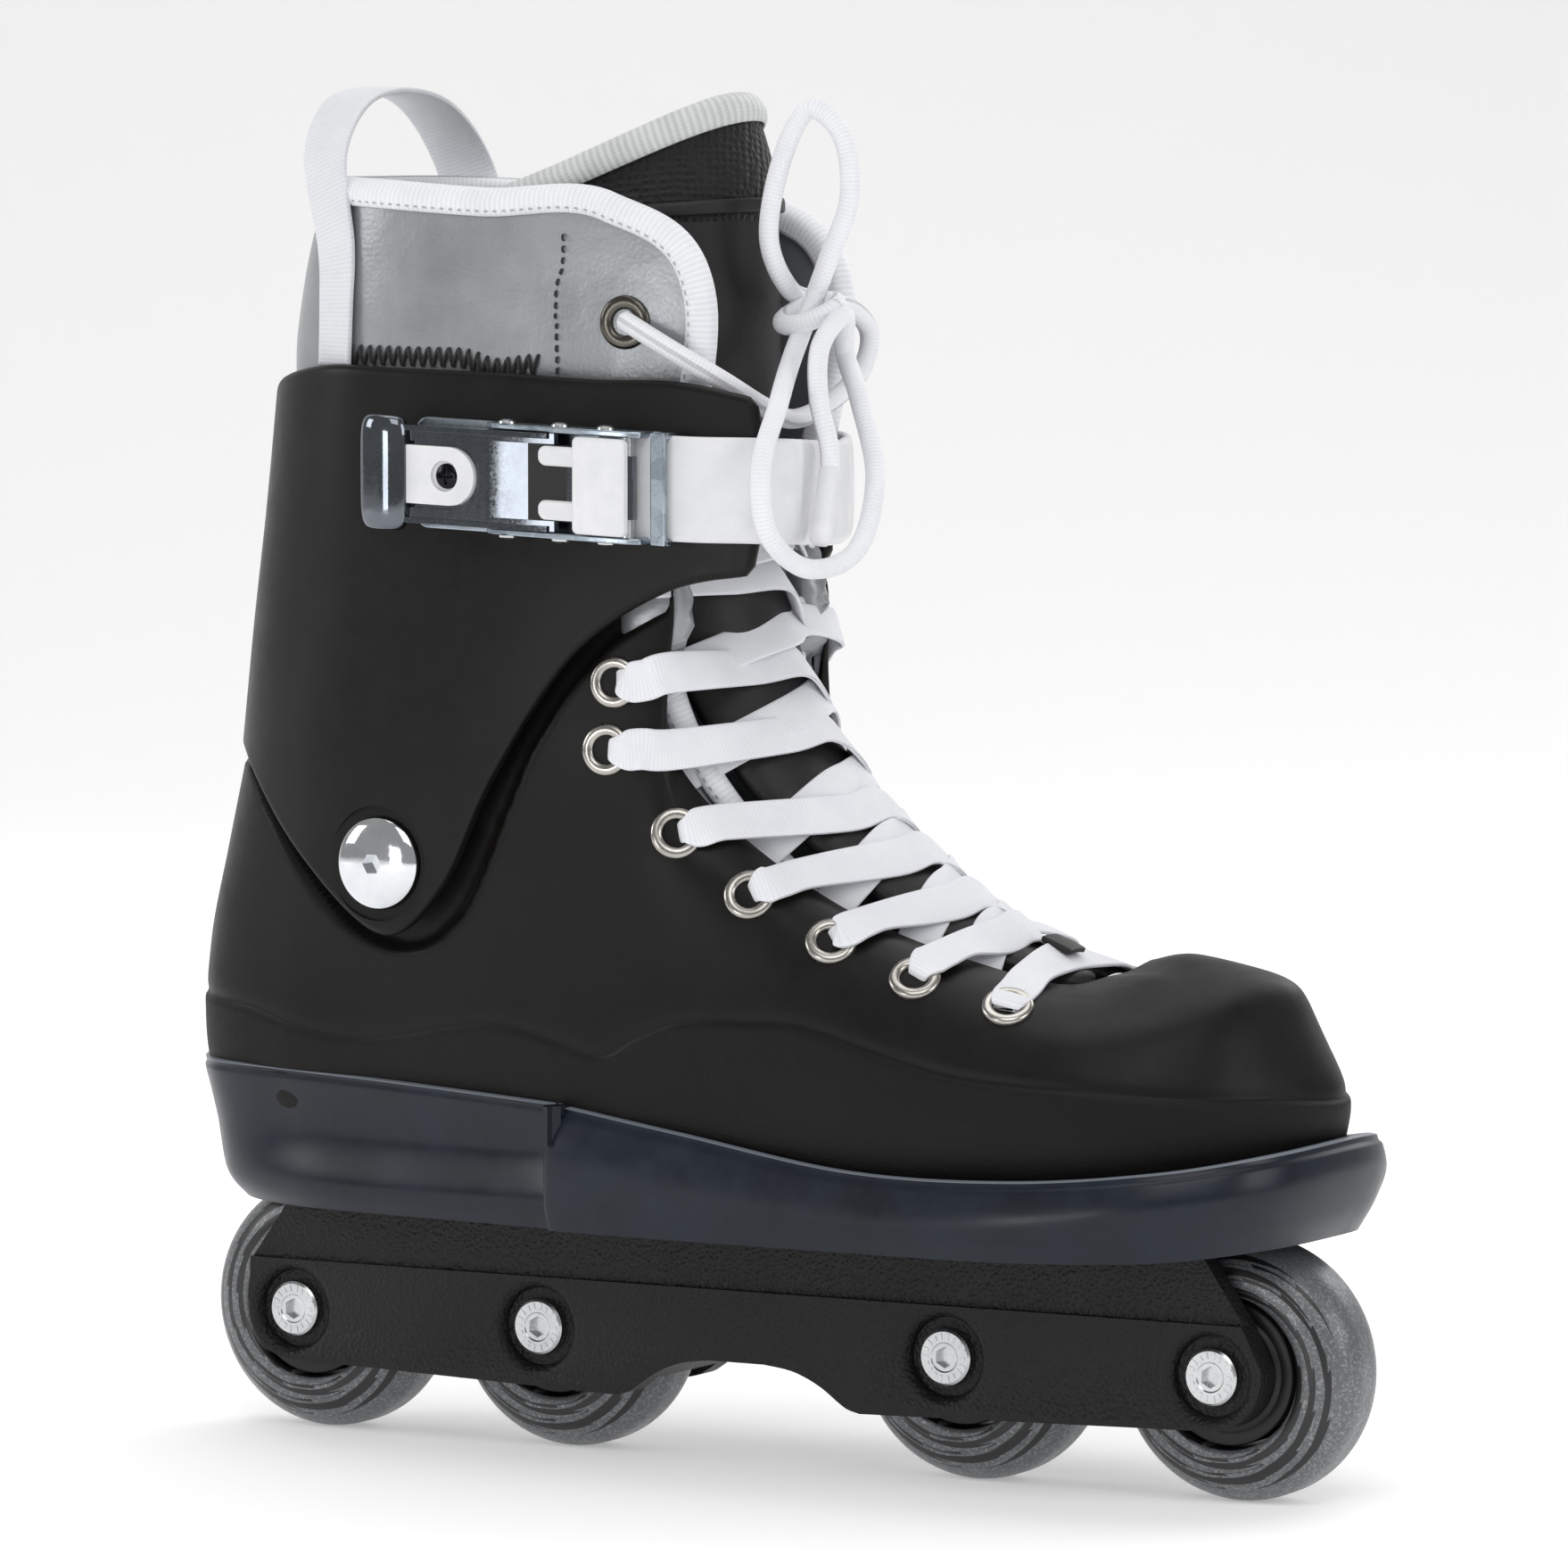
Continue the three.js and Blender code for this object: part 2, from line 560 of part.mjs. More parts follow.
// The nearest place on a net's face to a point given in side view, and the way the face looks there.
function onFace(net, x, z, side) {
  const grid = surface(net, 49, 176, true);
  const rows = grid.length;
  const columns = grid[0].length;
  let best = null;
  for (let i = 0; i < rows; i++) {
    for (let j = 0; j < columns; j++) {
      const p = grid[i][j];
      if (p[1] * side < 3) continue;
      const far = Math.hypot(p[0] - x, p[2] - z);
      if (!best || far < best.far) best = { far, i, j };
    }
  }
  const { i, j } = best;
  const up = point(...grid[Math.min(i + 1, rows - 1)][j]).sub(point(...grid[Math.max(i - 1, 0)][j]));
  const along = point(...grid[i][(j + 1) % columns]).sub(point(...grid[i][(j + columns - 1) % columns]));
  return { at: point(...grid[i][j]), normal: along.cross(up).normalize() };
}

const pivotSides = [
  { side: -1, name: "outer" },
  { side: 1, name: "inner" },
];
const pivotBossFace = (name) => pivotCuffY[name] - cuffWall - 1.5;
const pivotBossDepth = 6;

// A round body on the pivot's axis between two distances from the middle plane.
function onPivot(side, radius, from, to, count = 24) {
  const straight = bar("y", radius, from, to, count);
  return (side < 0 ? straight.mirror([0, 1, 0]) : straight).translate(pivot.x, 0, pivot.z);
}

function shell() {
  let body = slab(gridOf(shellNet), gridOf(shellInner), { closed: true, floor: true });
  body = body.subtract(cuffRoom());
  for (const { side, name } of pivotSides) {
    const face = pivotBossFace(name);
    body = body.add(onPivot(side, pivotBossRadius, face - pivotBossDepth, face));
    body = body.subtract(onPivot(side, nutFlangeRadius + gap, face - 16, face - pivotBossDepth));
    body = body.subtract(onPivot(side, nutBarrelRadius + gap, face - 12, face + 5));
  }
  for (const x of [-frameBoltX, frameBoltX]) {
    body = body.subtract(bar("z", frameBoltRadius + gap, 50, 80).translate(x, 0, 0));
  }
  return body;
}

function cuff() {
  const net = [...cuffNet].reverse();
  const inner = offsetNet(net, -cuffWall, false);
  let body = slab(surface(net, 7, 38, false), surface(inner, 7, 38, false));
  for (const { side, name } of pivotSides) {
    const face = pivotCuffY[name];
    body = body.subtract(onPivot(side, pivotBarrelRadius + runningGap, face - 12, face + 8));
    body = body.subtract(onPivot(side, pivotDishRadius, face - pivotDishDepth, face + 8));
  }
  return body.subtract(bar("y", strapScrewRadius + gap, 35, 56).translate(strapScrewX, 0, buckle.z));
}

function pivotBolt(side, name) {
  const face = pivotCuffY[name] - pivotDishDepth + 0.15;
  const seat = pivotBossFace(name) + 0.1;
  const dome = turned([[0, face], [pivotHeadRadius, face], [pivotHeadRadius - 0.4, face + 1.2],
    [pivotHeadRadius - 2.6, face + 2.6], [pivotHeadRadius - 6.5, face + 3.3], [0, face + 3.4]], 24);
  const head = (side < 0 ? dome.mirror([0, 1, 0]) : dome).translate(pivot.x, 0, pivot.z);
  const socket = bar("y", hexAcross / Math.sqrt(3), face + 1.2, face + 5, 6);
  return head
    .add(onPivot(side, pivotBarrelRadius, seat, face + 0.2))
    .add(onPivot(side, pivotScrewRadius, seat - 5, seat + 0.2))
    .subtract((side < 0 ? socket.mirror([0, 1, 0]) : socket).translate(pivot.x, 0, pivot.z));
}

function pivotNut(side, name) {
  const face = pivotBossFace(name);
  const back = face - pivotBossDepth - 0.1;
  return onPivot(side, nutFlangeRadius, back - nutFlangeThickness, back)
    .add(onPivot(side, nutBarrelRadius, back - 0.2, face - 0.2))
    .subtract(onPivot(side, pivotScrewRadius + gap, back - 6, face + 2));
}

// How far the liner's face keeps from the shell's: more under the laces' eyelet rows.
const linerNet = (() => {
  const under = offsetNet(shellNet, (p) => -wallAt(p) - linerGap).map(
    raised(shellBottomZ + shellWall + linerGap * 0.4),
  );
  const collar = bothSides(collarHalf, innerShare);
  return under.map((column, j) => [...column, ...collar[j]]);
})();

function liner() {
  const floorZ = linerNet[0][0][2] + linerWall;
  const inner = offsetNet(linerNet, -linerWall).map(raised(floorZ));
  let body = slab(gridOf(linerNet, 14), gridOf(inner, 14), { closed: true, floor: true });
  for (const { side, name } of pivotSides) {
    const back = pivotBossFace(name) - pivotBossDepth - nutFlangeThickness - 0.1;
    body = body.subtract(onPivot(side, nutFlangeRadius + 1, back - gap, back + 12));
  }
  return body;
}

function footbed() {
  const floorZ = linerNet[0][0][2] + linerWall + gap;
  const inner = offsetNet(linerNet, -linerWall - 1.2);
  const rows = [floorZ, floorZ + footbedThickness];
  const grid = rows.map((z, i) => {
    const level = inner.map((column) => [column[i ? 0 : 0][0], column[0][1], z]);
    return through(level, 36, true);
  });
  return filled(grid);
}

function tongue() {
  const stations = through(tongueStations, 17, false);
  const face = (inset) =>
    stations.map(([x, z, width, depth], i) => {
      const before = stations[Math.max(i - 1, 0)];
      const after = stations[Math.min(i + 1, stations.length - 1)];
      const run = point(after[0] - before[0], 0, after[1] - before[1]).normalize();
      const out = point(run.z, 0, -run.x);
      return Array.from({ length: 11 }, (_, j) => {
        const angle = (j / 10 - 0.5) * Math.PI * 0.94;
        const w = width - inset;
        const d = depth - inset * 0.4;
        const lift = d * Math.cos(angle) - depth - inset * 0.6;
        return [x + out.x * lift, w * Math.sin(angle), z + out.z * lift];
      });
    });
  return slab(face(tongueThickness), face(0));
}

// ---------------------------------------------------------------- buckle and strap
// Distances of the buckle's layers from the middle plane, on the outer side: the face its base lies on,
// the strap's track over the base, and the pin the lever turns on.
const buckleFaceY = -49.4;
const baseThickness = 2;
const railThickness = 1.4;
const trackY = buckleFaceY - baseThickness - gap;
const pinRadius = 1.6;
const pinX = buckle.x1 - 7;
const pinY = trackY - strapThickness - gap - pinRadius - 0.6;
const leverY = pinY - 1.2; // inner face of the lever's plate
const leverThickness = 1.8;
const buckleLow = buckle.z - buckle.height / 2;
const buckleHigh = buckle.z + buckle.height / 2;

const pinHole = () => bar("z", pinRadius + runningGap, 150, 300, 12).translate(pinX, pinY, 0);

function buckleBase() {
  const { x0, x1 } = buckle;
  const plate = box(x0 - 20, x1, buckleFaceY - baseThickness, buckleFaceY, buckleLow, buckleHigh);
  const rails = [buckleLow, buckleHigh - railThickness].map((from) =>
    box(x0 + 20, x1 - 3, pinY - 3, buckleFaceY - 1, from, from + railThickness),
  );
  return rails.reduce((body, rail) => body.add(rail), plate).subtract(pinHole());
}

const bucklePin = () => bar("z", pinRadius, buckleLow - 0.8, buckleHigh + 0.8, 12).translate(pinX, pinY, 0);

function buckleLever() {
  const { x0 } = buckle;
  const inner = leverY;
  const outer = leverY - leverThickness;
  const bent = [x0 - 30, inner - 1];
  const arm = [bent, [x0 - 21, inner], [pinX - 5, inner], [pinX - 2.6, pinY + 2], [pinX + 1, pinY + 2.1],
    [pinX + 2.2, pinY + 0.6], [pinX + 2.2, pinY - 1.2], [pinX + 1, outer], [x0 - 21, outer],
    [x0 - 29.5, outer - 1]];
  const wide = [bent, [x0 - 21, inner], [x0 + 19, inner], [x0 + 19, outer], [x0 - 21, outer],
    [x0 - 29.5, outer - 1]];
  const inset = railThickness + gap;
  const body = flatPlate(arm, buckleLow + inset, buckleHigh - inset);
  return body.add(flatPlate(wide, buckleLow, buckleHigh)).subtract(pinHole());
}

// An outline in the XY plane, given height from z0 to z1.
function flatPlate(outline, z0, z1) {
  const shape = new THREE.Shape(outline.map(([x, y]) => new THREE.Vector2(x, y)));
  const geometry = new THREE.ExtrudeGeometry(shape, { depth: z1 - z0, bevelEnabled: false });
  geometry.translate(0, 0, z0);
  return solid(geometry);
}

const gripY = leverY - leverThickness - 0.1;
const gripThickness = 3.2;
const gripScrewX = buckle.x0 - 14;

function buckleGrip() {
  const { x0, z } = buckle;
  const block = box(x0 - 20.5, x0 + 2, gripY - gripThickness, gripY, buckleLow + 1.4, buckleHigh - 1.4);
  return block.subtract(bar("y", 4.2, gripY - 5, gripY - 1.2).translate(gripScrewX, 0, z));
}

function buckleScrew() {
  const { z } = buckle;
  const top = gripY - gripThickness + 0.6;
  const head = bar("y", 3.8, top, gripY - 1.3).translate(gripScrewX, 0, z);
  const slot = (w, h) => box(gripScrewX - w, gripScrewX + w, top - 1, top + 0.8, z - h, z + h);
  return head.subtract(slot(2.4, 0.5)).subtract(slot(0.5, 2.4));
}

function buckleNose() {
  const { x1 } = buckle;
  const inset = railThickness + gap;
  const outline = [[x1 - 22, gripY], [pinX + 0.8, gripY], [pinX + 1, gripY - 2.2], [x1 - 22, gripY - 3]];
  return flatPlate(outline, buckleLow + inset, buckleHigh - inset);
}

// The toothed strap: from inside the buckle round the front to the inner side of the cuff.
const strapPath = [
  [-17, trackY, 228.5], [-3, trackY, 228.4], [8, -50.8, 228.1], [17, -47.6, 228], [22.6, -39, 227.6],
  [22.6, -26, 227], [19, -12, 226.3], [13, 3, 226], [6, 18, 226], [-1, 33, 226.4], [-10, 42.6, 227],
  [-28, 46, 228], [-46, 47.4, 228.5],
];
const strapScrewX = -38;

function strap() {
  const across = strapPath.map(() => [0, 0, 1]);
  const band = strip(strapPath, across, strapHeight, strapThickness, 34);
  return band.subtract(bar("y", strapScrewRadius + gap, 40, 56).translate(strapScrewX, 0, buckle.z));
}

function strapScrew() {
  const face = 50.3;
  const head = bar("y", 4.6, face, face + 2).add(bar("y", strapScrewRadius, 42.4, face + 0.1));
  return head.subtract(hexBar(3, face + 0.9, face + 3)).translate(strapScrewX, 0, buckle.z);
}

// ---------------------------------------------------------------- pull loop and laces
function pullLoop() {
  const foot = (side) =>
    [258, 270, 283].map((z) => {
      const { at, normal } = onFace(linerNet, -98, z, side);
      return at.addScaledVector(normal, 0.5).toArray();
    });
  const crown = [[-101, -30, 303], [-104, -17, 315], [-105, 0, 318], [-104, 17, 315], [-101, 29, 303]];
  const path = [...foot(-1), ...crown, ...foot(1).reverse()];
  const across = path.map(([, y]) => [-1, y < 0 ? 0.55 : -0.55, 0]);
  return strip(path, across, 14, 1.8, 28);
}

// A place on the tongue's face: u counts along its stations, v is the share of its half width.
function onTongue(u, v, lift) {
  const i = Math.min(Math.floor(u), tongueStations.length - 2);
  const blend = tongueStations[i].map((value, k) => value + (tongueStations[i + 1][k] - value) * (u - i));
  const [x, z, width, depth] = blend;
  const run = point(tongueStations[i + 1][0] - tongueStations[i][0], 0, 0);
  run.z = tongueStations[i + 1][1] - tongueStations[i][1];
  run.normalize();
  const rise = depth * (Math.sqrt(1 - v * v) - 1) + lift;
  return [x + run.z * rise, v * width, z - run.x * rise];
}

// Where each eyelet pair sits along the tongue's stations.
const eyeletStations = [0.2, 1.3, 2.3, 3.1, 3.95, 5, 5.9];

// The lace from an eyelet up to the shell's edge, which it leaves a little way towards another eyelet.
function overEdge(eyelet, towards, side) {
  const [x, z] = between(eyelet, towards, 0.22);
  const edge = surface(shellNet, 2, 176, true)[1].filter((p) => p[1] * side > 3);
  const far = (p) => Math.hypot(p[0] - x, p[2] - z);
  const over = point(...edge.reduce((best, p) => (far(p) < far(best) ? p : best)));
  const onShell = (share) => onFace(shellNet, ...between([over.x, over.z], [x, z], share), side);
  const { normal } = onShell(0.3);
  const lift = z > 140 ? 5.1 : 2.2; // the edge turns in more sharply at the ankle
  const middle = onShell(0.55);
  return [
    middle.at.addScaledVector(middle.normal, laceRadius + lift).toArray(),
    over.addScaledVector(normal, laceRadius + lift).toArray(),
  ];
}

const between = (a, b, share) => a.map((value, k) => value + (b[k] - value) * share);

function shellLacePath() {
  const onShell = ([x, z], side, lift) => {
    const { at, normal } = onFace(shellNet, x, z, side);
    return at.addScaledVector(normal, laceRadius + lift).toArray();
  };
  const crossing = (k, side, lift) => {
    const u = (eyeletStations[k] + eyeletStations[k + 1]) / 2;
    const [from, to] = [shellEyelets[k], shellEyelets[k + 1]];
    return [
      ...overEdge(from, to, side),
      onTongue(u - 0.13, side * 0.62, laceRadius + 0.8),
      onTongue(u, 0, laceRadius + 0.6 + lift),
      onTongue(u + 0.13, -side * 0.62, laceRadius + 0.8),
      ...overEdge(to, from, -side).reverse(),
    ];
  };
  const strand = (first, lift) => {
    const points = [];
    let side = first;
    for (let k = 0; k < shellEyelets.length; k++) {
      points.push(onShell(shellEyelets[k], side, 1));
      if (k < shellEyelets.length - 1) points.push(...crossing(k, side, lift));
      side = -side;
    }
    return points;
  };
  const [first, second] = shellEyelets;
  const ahead = [first[0] * 2 - second[0], first[1] * 2 - second[1]];
  const bar = [
    ...overEdge(first, ahead, -1),
    onTongue(0.2, 0, laceRadius + 0.7),
    ...overEdge(first, ahead, 1).reverse(),
  ];
  return [...strand(-1, laceRadius * 2 + 0.5).reverse(), ...bar, ...strand(1, 0)];
}

const shellLace = () => cord(shellLacePath(), laceRadius, 116);

// The liner's own lace: out of its eyelet, round the tongue and tied in front with two loops and an end.
const bowPath = [
  [-18, -40.5, 266], [-6, -42, 260], [5, -36, 252.5], [8.5, -22, 246], [7, -6, 243], [7, 10, 246],
  [8, 24, 253], [9, 27, 262], [8, 20, 268], [7, 6, 270], [7, -8, 273], [5, -14, 285], [8, -13, 303],
  [15, -13, 314], [23, -12, 308], [25, -12, 294], [19, -11, 280], [14, -11, 268], [15, -22, 256],
  [23, -42, 247], [25.5, -54, 234], [27, -54, 219], [31, -43, 210.5], [35.5, -28, 214], [35, -18, 230],
  [27, -11, 248], [19, -3, 258], [23, -11, 267], [24, -24, 260], [27.5, -31, 248], [31, -32, 235],
  [31, -36, 218],
];
const linerLace = () => cord(bowPath, bowLaceRadius, 80);

// ---------------------------------------------------------------- the skate
const part = new THREE.Group();
part.name = "inline_skate";

function place(name, manifold, color, roughness, metalness = 0) {
  const material = new THREE.MeshStandardMaterial({ color, roughness, metalness });
  const mesh = new THREE.Mesh(geometryOf(manifold), material);
  mesh.name = name;
  part.add(mesh);
}

const steel = ["#8c8f94", 0.32, 1];
const chrome = ["#c9ccd1", 0.14, 1];
const blackPlastic = ["#1d1c1d", 0.55];
const whitePlastic = ["#d9dadb", 0.45];

place("frame", frame(), "#1c1c1e", 0.6);
place("soul_plate", soulPlate(), "#1d2534", 0.45);
place("boot_shell", shell(), ...blackPlastic);
place("liner", liner(), "#9a9da3", 0.75);
place("tongue", tongue(), "#141415", 0.9);
place("footbed", footbed(), "#2b2c30", 0.9);
place("cuff", cuff(), ...blackPlastic);
for (const { side, name } of pivotSides) {
  place(`pivot_bolt_${name}`, pivotBolt(side, name), ...chrome);
  place(`pivot_nut_${name}`, pivotNut(side, name), ...steel);
}
place("frame_bolt_rear", frameBolt().translate(-frameBoltX, 0, 0), ...steel);
place("frame_bolt_front", frameBolt().translate(frameBoltX, 0, 0), ...steel);

const half = coreWidth / 2;
const innerEnd = half - bearingWidth;
for (const [index, x] of axleX.entries()) {
  const at = (manifold) => manifold.translate(x, 0, wheelRadius);
  const name = (piece) => `${piece}_${index + 1}`;
  place(name("tyre"), at(tyre()), "#6f7175", 0.42);
  place(name("wheel_core"), at(core()), "#d6d5d0", 0.5);
  for (const [letter, side] of [["a", -1], ["b", 1]]) {
    const ends = [side * innerEnd, side * half].sort((a, b) => a - b);
    const outerRing = ring(bearingInnerRadius + gap, bearingOuterRadius, ...ends);
    place(name(`bearing_outer_${letter}`), at(outerRing), "#33363b", 0.4, 0.6);
    const innerRing = ring(axleRadius + gap / 2, bearingInnerRadius, ...ends);
    place(name(`bearing_inner_${letter}`), at(innerRing), ...steel);
  }
  const spacer = ring(axleRadius + gap / 2, bearingInnerRadius - 0.3, -innerEnd + 0.1, innerEnd - 0.1);
  place(name("bearing_spacer"), at(spacer), ...steel);
  place(name("axle"), at(axle()), ...chrome);
  place(name("axle_screw"), at(axleScrew()), ...chrome);
}

place("buckle_base", buckleBase(), ...steel);
place("buckle_pin", bucklePin(), ...steel);
place("buckle_lever", buckleLever(), ...chrome);
place("buckle_grip", buckleGrip(), ...whitePlastic);
place("buckle_screw", buckleScrew(), ...steel);
place("buckle_nose", buckleNose(), ...whitePlastic);
place("strap", strap(), ...whitePlastic);
place("strap_screw", strapScrew(), ...chrome);
place("pull_loop", pullLoop(), "#e3e3e1", 0.85);
place("shell_lace", shellLace(), "#e6e6e6", 0.85);
place("liner_lace", linerLace(), "#e9e9ea", 0.8);

// The origin goes under the centre of the bounding box, leaving the loose cord out.
const bounds = new THREE.Box3();
for (const mesh of part.children) {
  if (mesh.name !== "liner_lace" && mesh.name !== "shell_lace") bounds.expandByObject(mesh, true);
}
const centre = bounds.getCenter(new THREE.Vector3());
for (const mesh of part.children) mesh.geometry.translate(-centre.x, -centre.y, 0);

export default part;
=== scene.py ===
from math import cos, pi, radians, sin, sqrt

import bmesh
import bpy
import numpy as np
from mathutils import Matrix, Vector


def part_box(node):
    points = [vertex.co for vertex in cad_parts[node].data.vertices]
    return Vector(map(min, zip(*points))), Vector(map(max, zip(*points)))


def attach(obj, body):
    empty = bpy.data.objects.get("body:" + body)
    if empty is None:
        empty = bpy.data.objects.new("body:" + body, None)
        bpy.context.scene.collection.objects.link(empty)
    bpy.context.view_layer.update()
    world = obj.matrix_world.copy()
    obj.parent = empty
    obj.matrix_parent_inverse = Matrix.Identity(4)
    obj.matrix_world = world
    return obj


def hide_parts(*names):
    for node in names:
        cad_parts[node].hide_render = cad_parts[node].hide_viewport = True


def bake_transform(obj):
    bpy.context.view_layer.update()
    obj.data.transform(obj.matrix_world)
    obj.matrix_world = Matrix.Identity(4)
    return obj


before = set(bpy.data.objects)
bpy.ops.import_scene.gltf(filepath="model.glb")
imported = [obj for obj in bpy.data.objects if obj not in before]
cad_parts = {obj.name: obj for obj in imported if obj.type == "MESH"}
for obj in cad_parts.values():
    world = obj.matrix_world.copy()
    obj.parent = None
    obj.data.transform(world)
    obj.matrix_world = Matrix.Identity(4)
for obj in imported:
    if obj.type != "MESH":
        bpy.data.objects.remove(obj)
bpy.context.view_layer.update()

scene = bpy.context.scene
scene.view_settings.view_transform = "Standard"
mm = 0.001
mergeDistance = 0.001 * mm

# The skate is laid out in mm round the middle of its wheelbase; shift takes that into the row frame.
pivotLow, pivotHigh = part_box("pivot_bolt_outer")
tyreLow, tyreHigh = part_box("tyre_1")
pivotPlace = (-79, 140)
shift = np.array([
    (pivotLow.x + pivotHigh.x) / 2 - pivotPlace[0] * mm, (tyreLow.y + tyreHigh.y) / 2, 0])


def toRow(points):
    return np.asarray(points, float) * mm + shift


# ---- camera first
cameraSet = {"target": (1.2, 0, 158.7), "azimuth": 29.1, "elevation": 4.02, "distance": 2000, "lens": 197.9}


def makeCamera(s):
    a, e = radians(s["azimuth"]), radians(s["elevation"])
    back = np.array([sin(a) * cos(e), -cos(a) * cos(e), sin(e)])
    camera = bpy.data.objects.new("camera", bpy.data.cameras.new("camera"))
    scene.collection.objects.link(camera)
    camera.data.lens = s["lens"]
    camera.data.sensor_width = 36
    camera.data.clip_start, camera.data.clip_end = 0.05, 60
    camera.location = toRow(np.array(s["target"]) + back * s["distance"])
    camera.rotation_mode = "QUATERNION"
    camera.rotation_quaternion = Vector(-back).to_track_quat("-Z", "Y")
    scene.camera = camera


makeCamera(cameraSet)
print("camera placed")


# ---- curves and surfaces
def spline(points, count, closed=False):
    # Catmull-Rom: each stretch is a cubic through its two ends whose slopes come from their neighbours.
    # count is a number of even samples or an array of places, counted in points.
    points = np.asarray(points, float)
    n = len(points)
    spans = n if closed else n - 1
    if np.ndim(count) == 0:
        s = np.arange(count) * spans / (count if closed else count - 1)
    else:
        s = np.asarray(count, float)
    i = np.clip(np.floor(s).astype(int), 0, spans - 1)
    t = (s - i).reshape(-1, *[1] * (points.ndim - 1))

    def at(k):
        return points[k % n] if closed else points[np.clip(k, 0, n - 1)]

    a, b, c, d = at(i - 1), at(i), at(i + 1), at(i + 2)
    return 0.5 * (2 * b + (c - a) * t + (2 * a - 5 * b + 4 * c - d) * t**2 + (3 * b - a - 3 * c + d) * t**3)


def surface(net, rows, columns, closed=False):
    # A net of columns of points, smoothed first up each column and then across them: [row, column, xyz].
    up = spline(np.swapaxes(np.asarray(net, float), 0, 1), rows)
    return np.swapaxes(spline(np.swapaxes(up, 0, 1), columns, closed), 0, 1)


def unit(v):
    return v / np.maximum(np.linalg.norm(v, axis=-1, keepdims=True), 1e-12)


def normalsOf(grid, closed=False):
    # The cross product of the way across and the way up at each point of the grid.
    if closed:
        across = np.roll(grid, -1, 1) - np.roll(grid, 1, 1)
    else:
        across = np.gradient(grid, axis=1)
    up = np.gradient(grid, axis=0)
    return unit(np.cross(across, up))


def smooth(low, high, value):
    t = np.clip((np.asarray(value, float) - low) / (high - low), 0, 1)
    return t * t * (3 - 2 * t)


def bothSides(half, share=1.0):
    # The half net's columns but its ends, in turned order, at -y times share.
    half = np.asarray(half, float)
    other = half[1:-1][::-1] * np.array([1, -share, 1])
    return np.concatenate([half, other])


def quads(rows, columns, closedAcross=False, closedUp=False, start=0):
    i = np.arange(rows if closedUp else rows - 1)[:, None]
    j = np.arange(columns if closedAcross else columns - 1)[None, :]
    i2, j2 = (i + 1) % rows, (j + 1) % columns
    corners = [i * columns + j, i * columns + j2, i2 * columns + j2, i2 * columns + j]
    return np.stack([np.broadcast_to(c, (i.size, j.size)) for c in corners], -1).reshape(-1, 4) + start


def capped(rows, columns):
    # The faces of a stack of closed rings with a flat cap at either end.
    ring = np.arange(columns)
    return [quads(rows, columns, True), [ring[::-1]], [ring + (rows - 1) * columns]]


def floored(grid, shares=(0.35, 0.65, 0.9)):
    # Rings drawn in to the middle line, added before the first row and after the last one.
    shares = np.array(shares)[:, None, None] * np.array([0.06, 1, 0])
    return np.concatenate([grid[0] * (1 - shares[::-1]), grid, grid[-1] * (1 - shares)])


def clothUv(obj, uv):
    # A uv layer in metres of cloth, from one pair in mm for each point.
    mesh = obj.data
    layer = mesh.uv_layers.get("cloth") or mesh.uv_layers.new(name="cloth")
    corner = np.zeros(len(mesh.loops), int)
    mesh.loops.foreach_get("vertex_index", corner)
    layer.data.foreach_set("uv", (uv.reshape(-1, 2)[corner] * mm).ravel())


def makeMesh(name, points, faces, uv=None):
    # points in mm of the layout; faces are arrays of corner numbers; uv is in mm, one pair for each point
    mesh = bpy.data.meshes.new(name)
    faces = [list(map(int, f)) for group in faces for f in group]
    mesh.from_pydata(toRow(points.reshape(-1, 3)).tolist(), [], faces)
    obj = bpy.data.objects.new(name, mesh)
    if uv is not None:
        clothUv(obj, uv)
    mesh.validate()
    mesh.update()
    scene.collection.objects.link(obj)
    return obj


def lengths(points, axis=0):
    # Distance run along the points from the first one.
    step = np.linalg.norm(np.diff(points, axis=axis), axis=-1)
    start = np.zeros_like(np.take(step, [0], axis))
    return np.concatenate([start, np.cumsum(step, axis)], axis)


def slotOf(node):
    # A node's name without its wheel number, its letter or its pivot's side.
    words = [word for word in node.split("_") if word not in ("1", "2", "3", "4", "a", "b")]
    return "_".join(words[:2] if words[0] == "pivot" else words)


def coated(obj, material):
    obj.data.materials.clear()
    obj.data.materials.append(material)


def dressed(obj, material, nodes, angle):
    # A material, smooth shading up to an angle, and the frame's nodes that the piece stands for.
    coated(obj, material)
    obj.data.shade_smooth()
    obj.data.set_sharp_from_angle(angle=radians(angle))
    if nodes:
        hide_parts(*nodes)
        slotOf(nodes[0])
    return obj


def finishPiece(obj, material, body, replaces=(), bevel=None, angle=40):
    if bevel:
        mod = obj.modifiers.new("edges", "BEVEL")
        mod.width, mod.segments, mod.limit_method = bevel * mm, 2, "ANGLE"
        mod.angle_limit = radians(angle)
        mod.harden_normals = False
        mod.miter_outer = "MITER_ARC"
    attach(dressed(obj, material, replaces, angle), body)
    return obj


def lipped(outer, inner, lipRows=5):
    # Up the outer face, over a round lip and down the inner face, as one grid.
    middle, half = (outer[-1] + inner[-1]) / 2, (outer[-1] - inner[-1]) / 2
    up = unit(outer[-1] - outer[-3])
    radius = np.linalg.norm(half, axis=-1, keepdims=True)
    turn = np.linspace(0, pi, lipRows + 2)[1:-1, None, None]
    lip = middle + half * np.cos(turn) + up * radius * np.sin(turn)
    return np.concatenate([outer, lip, inner[::-1]])


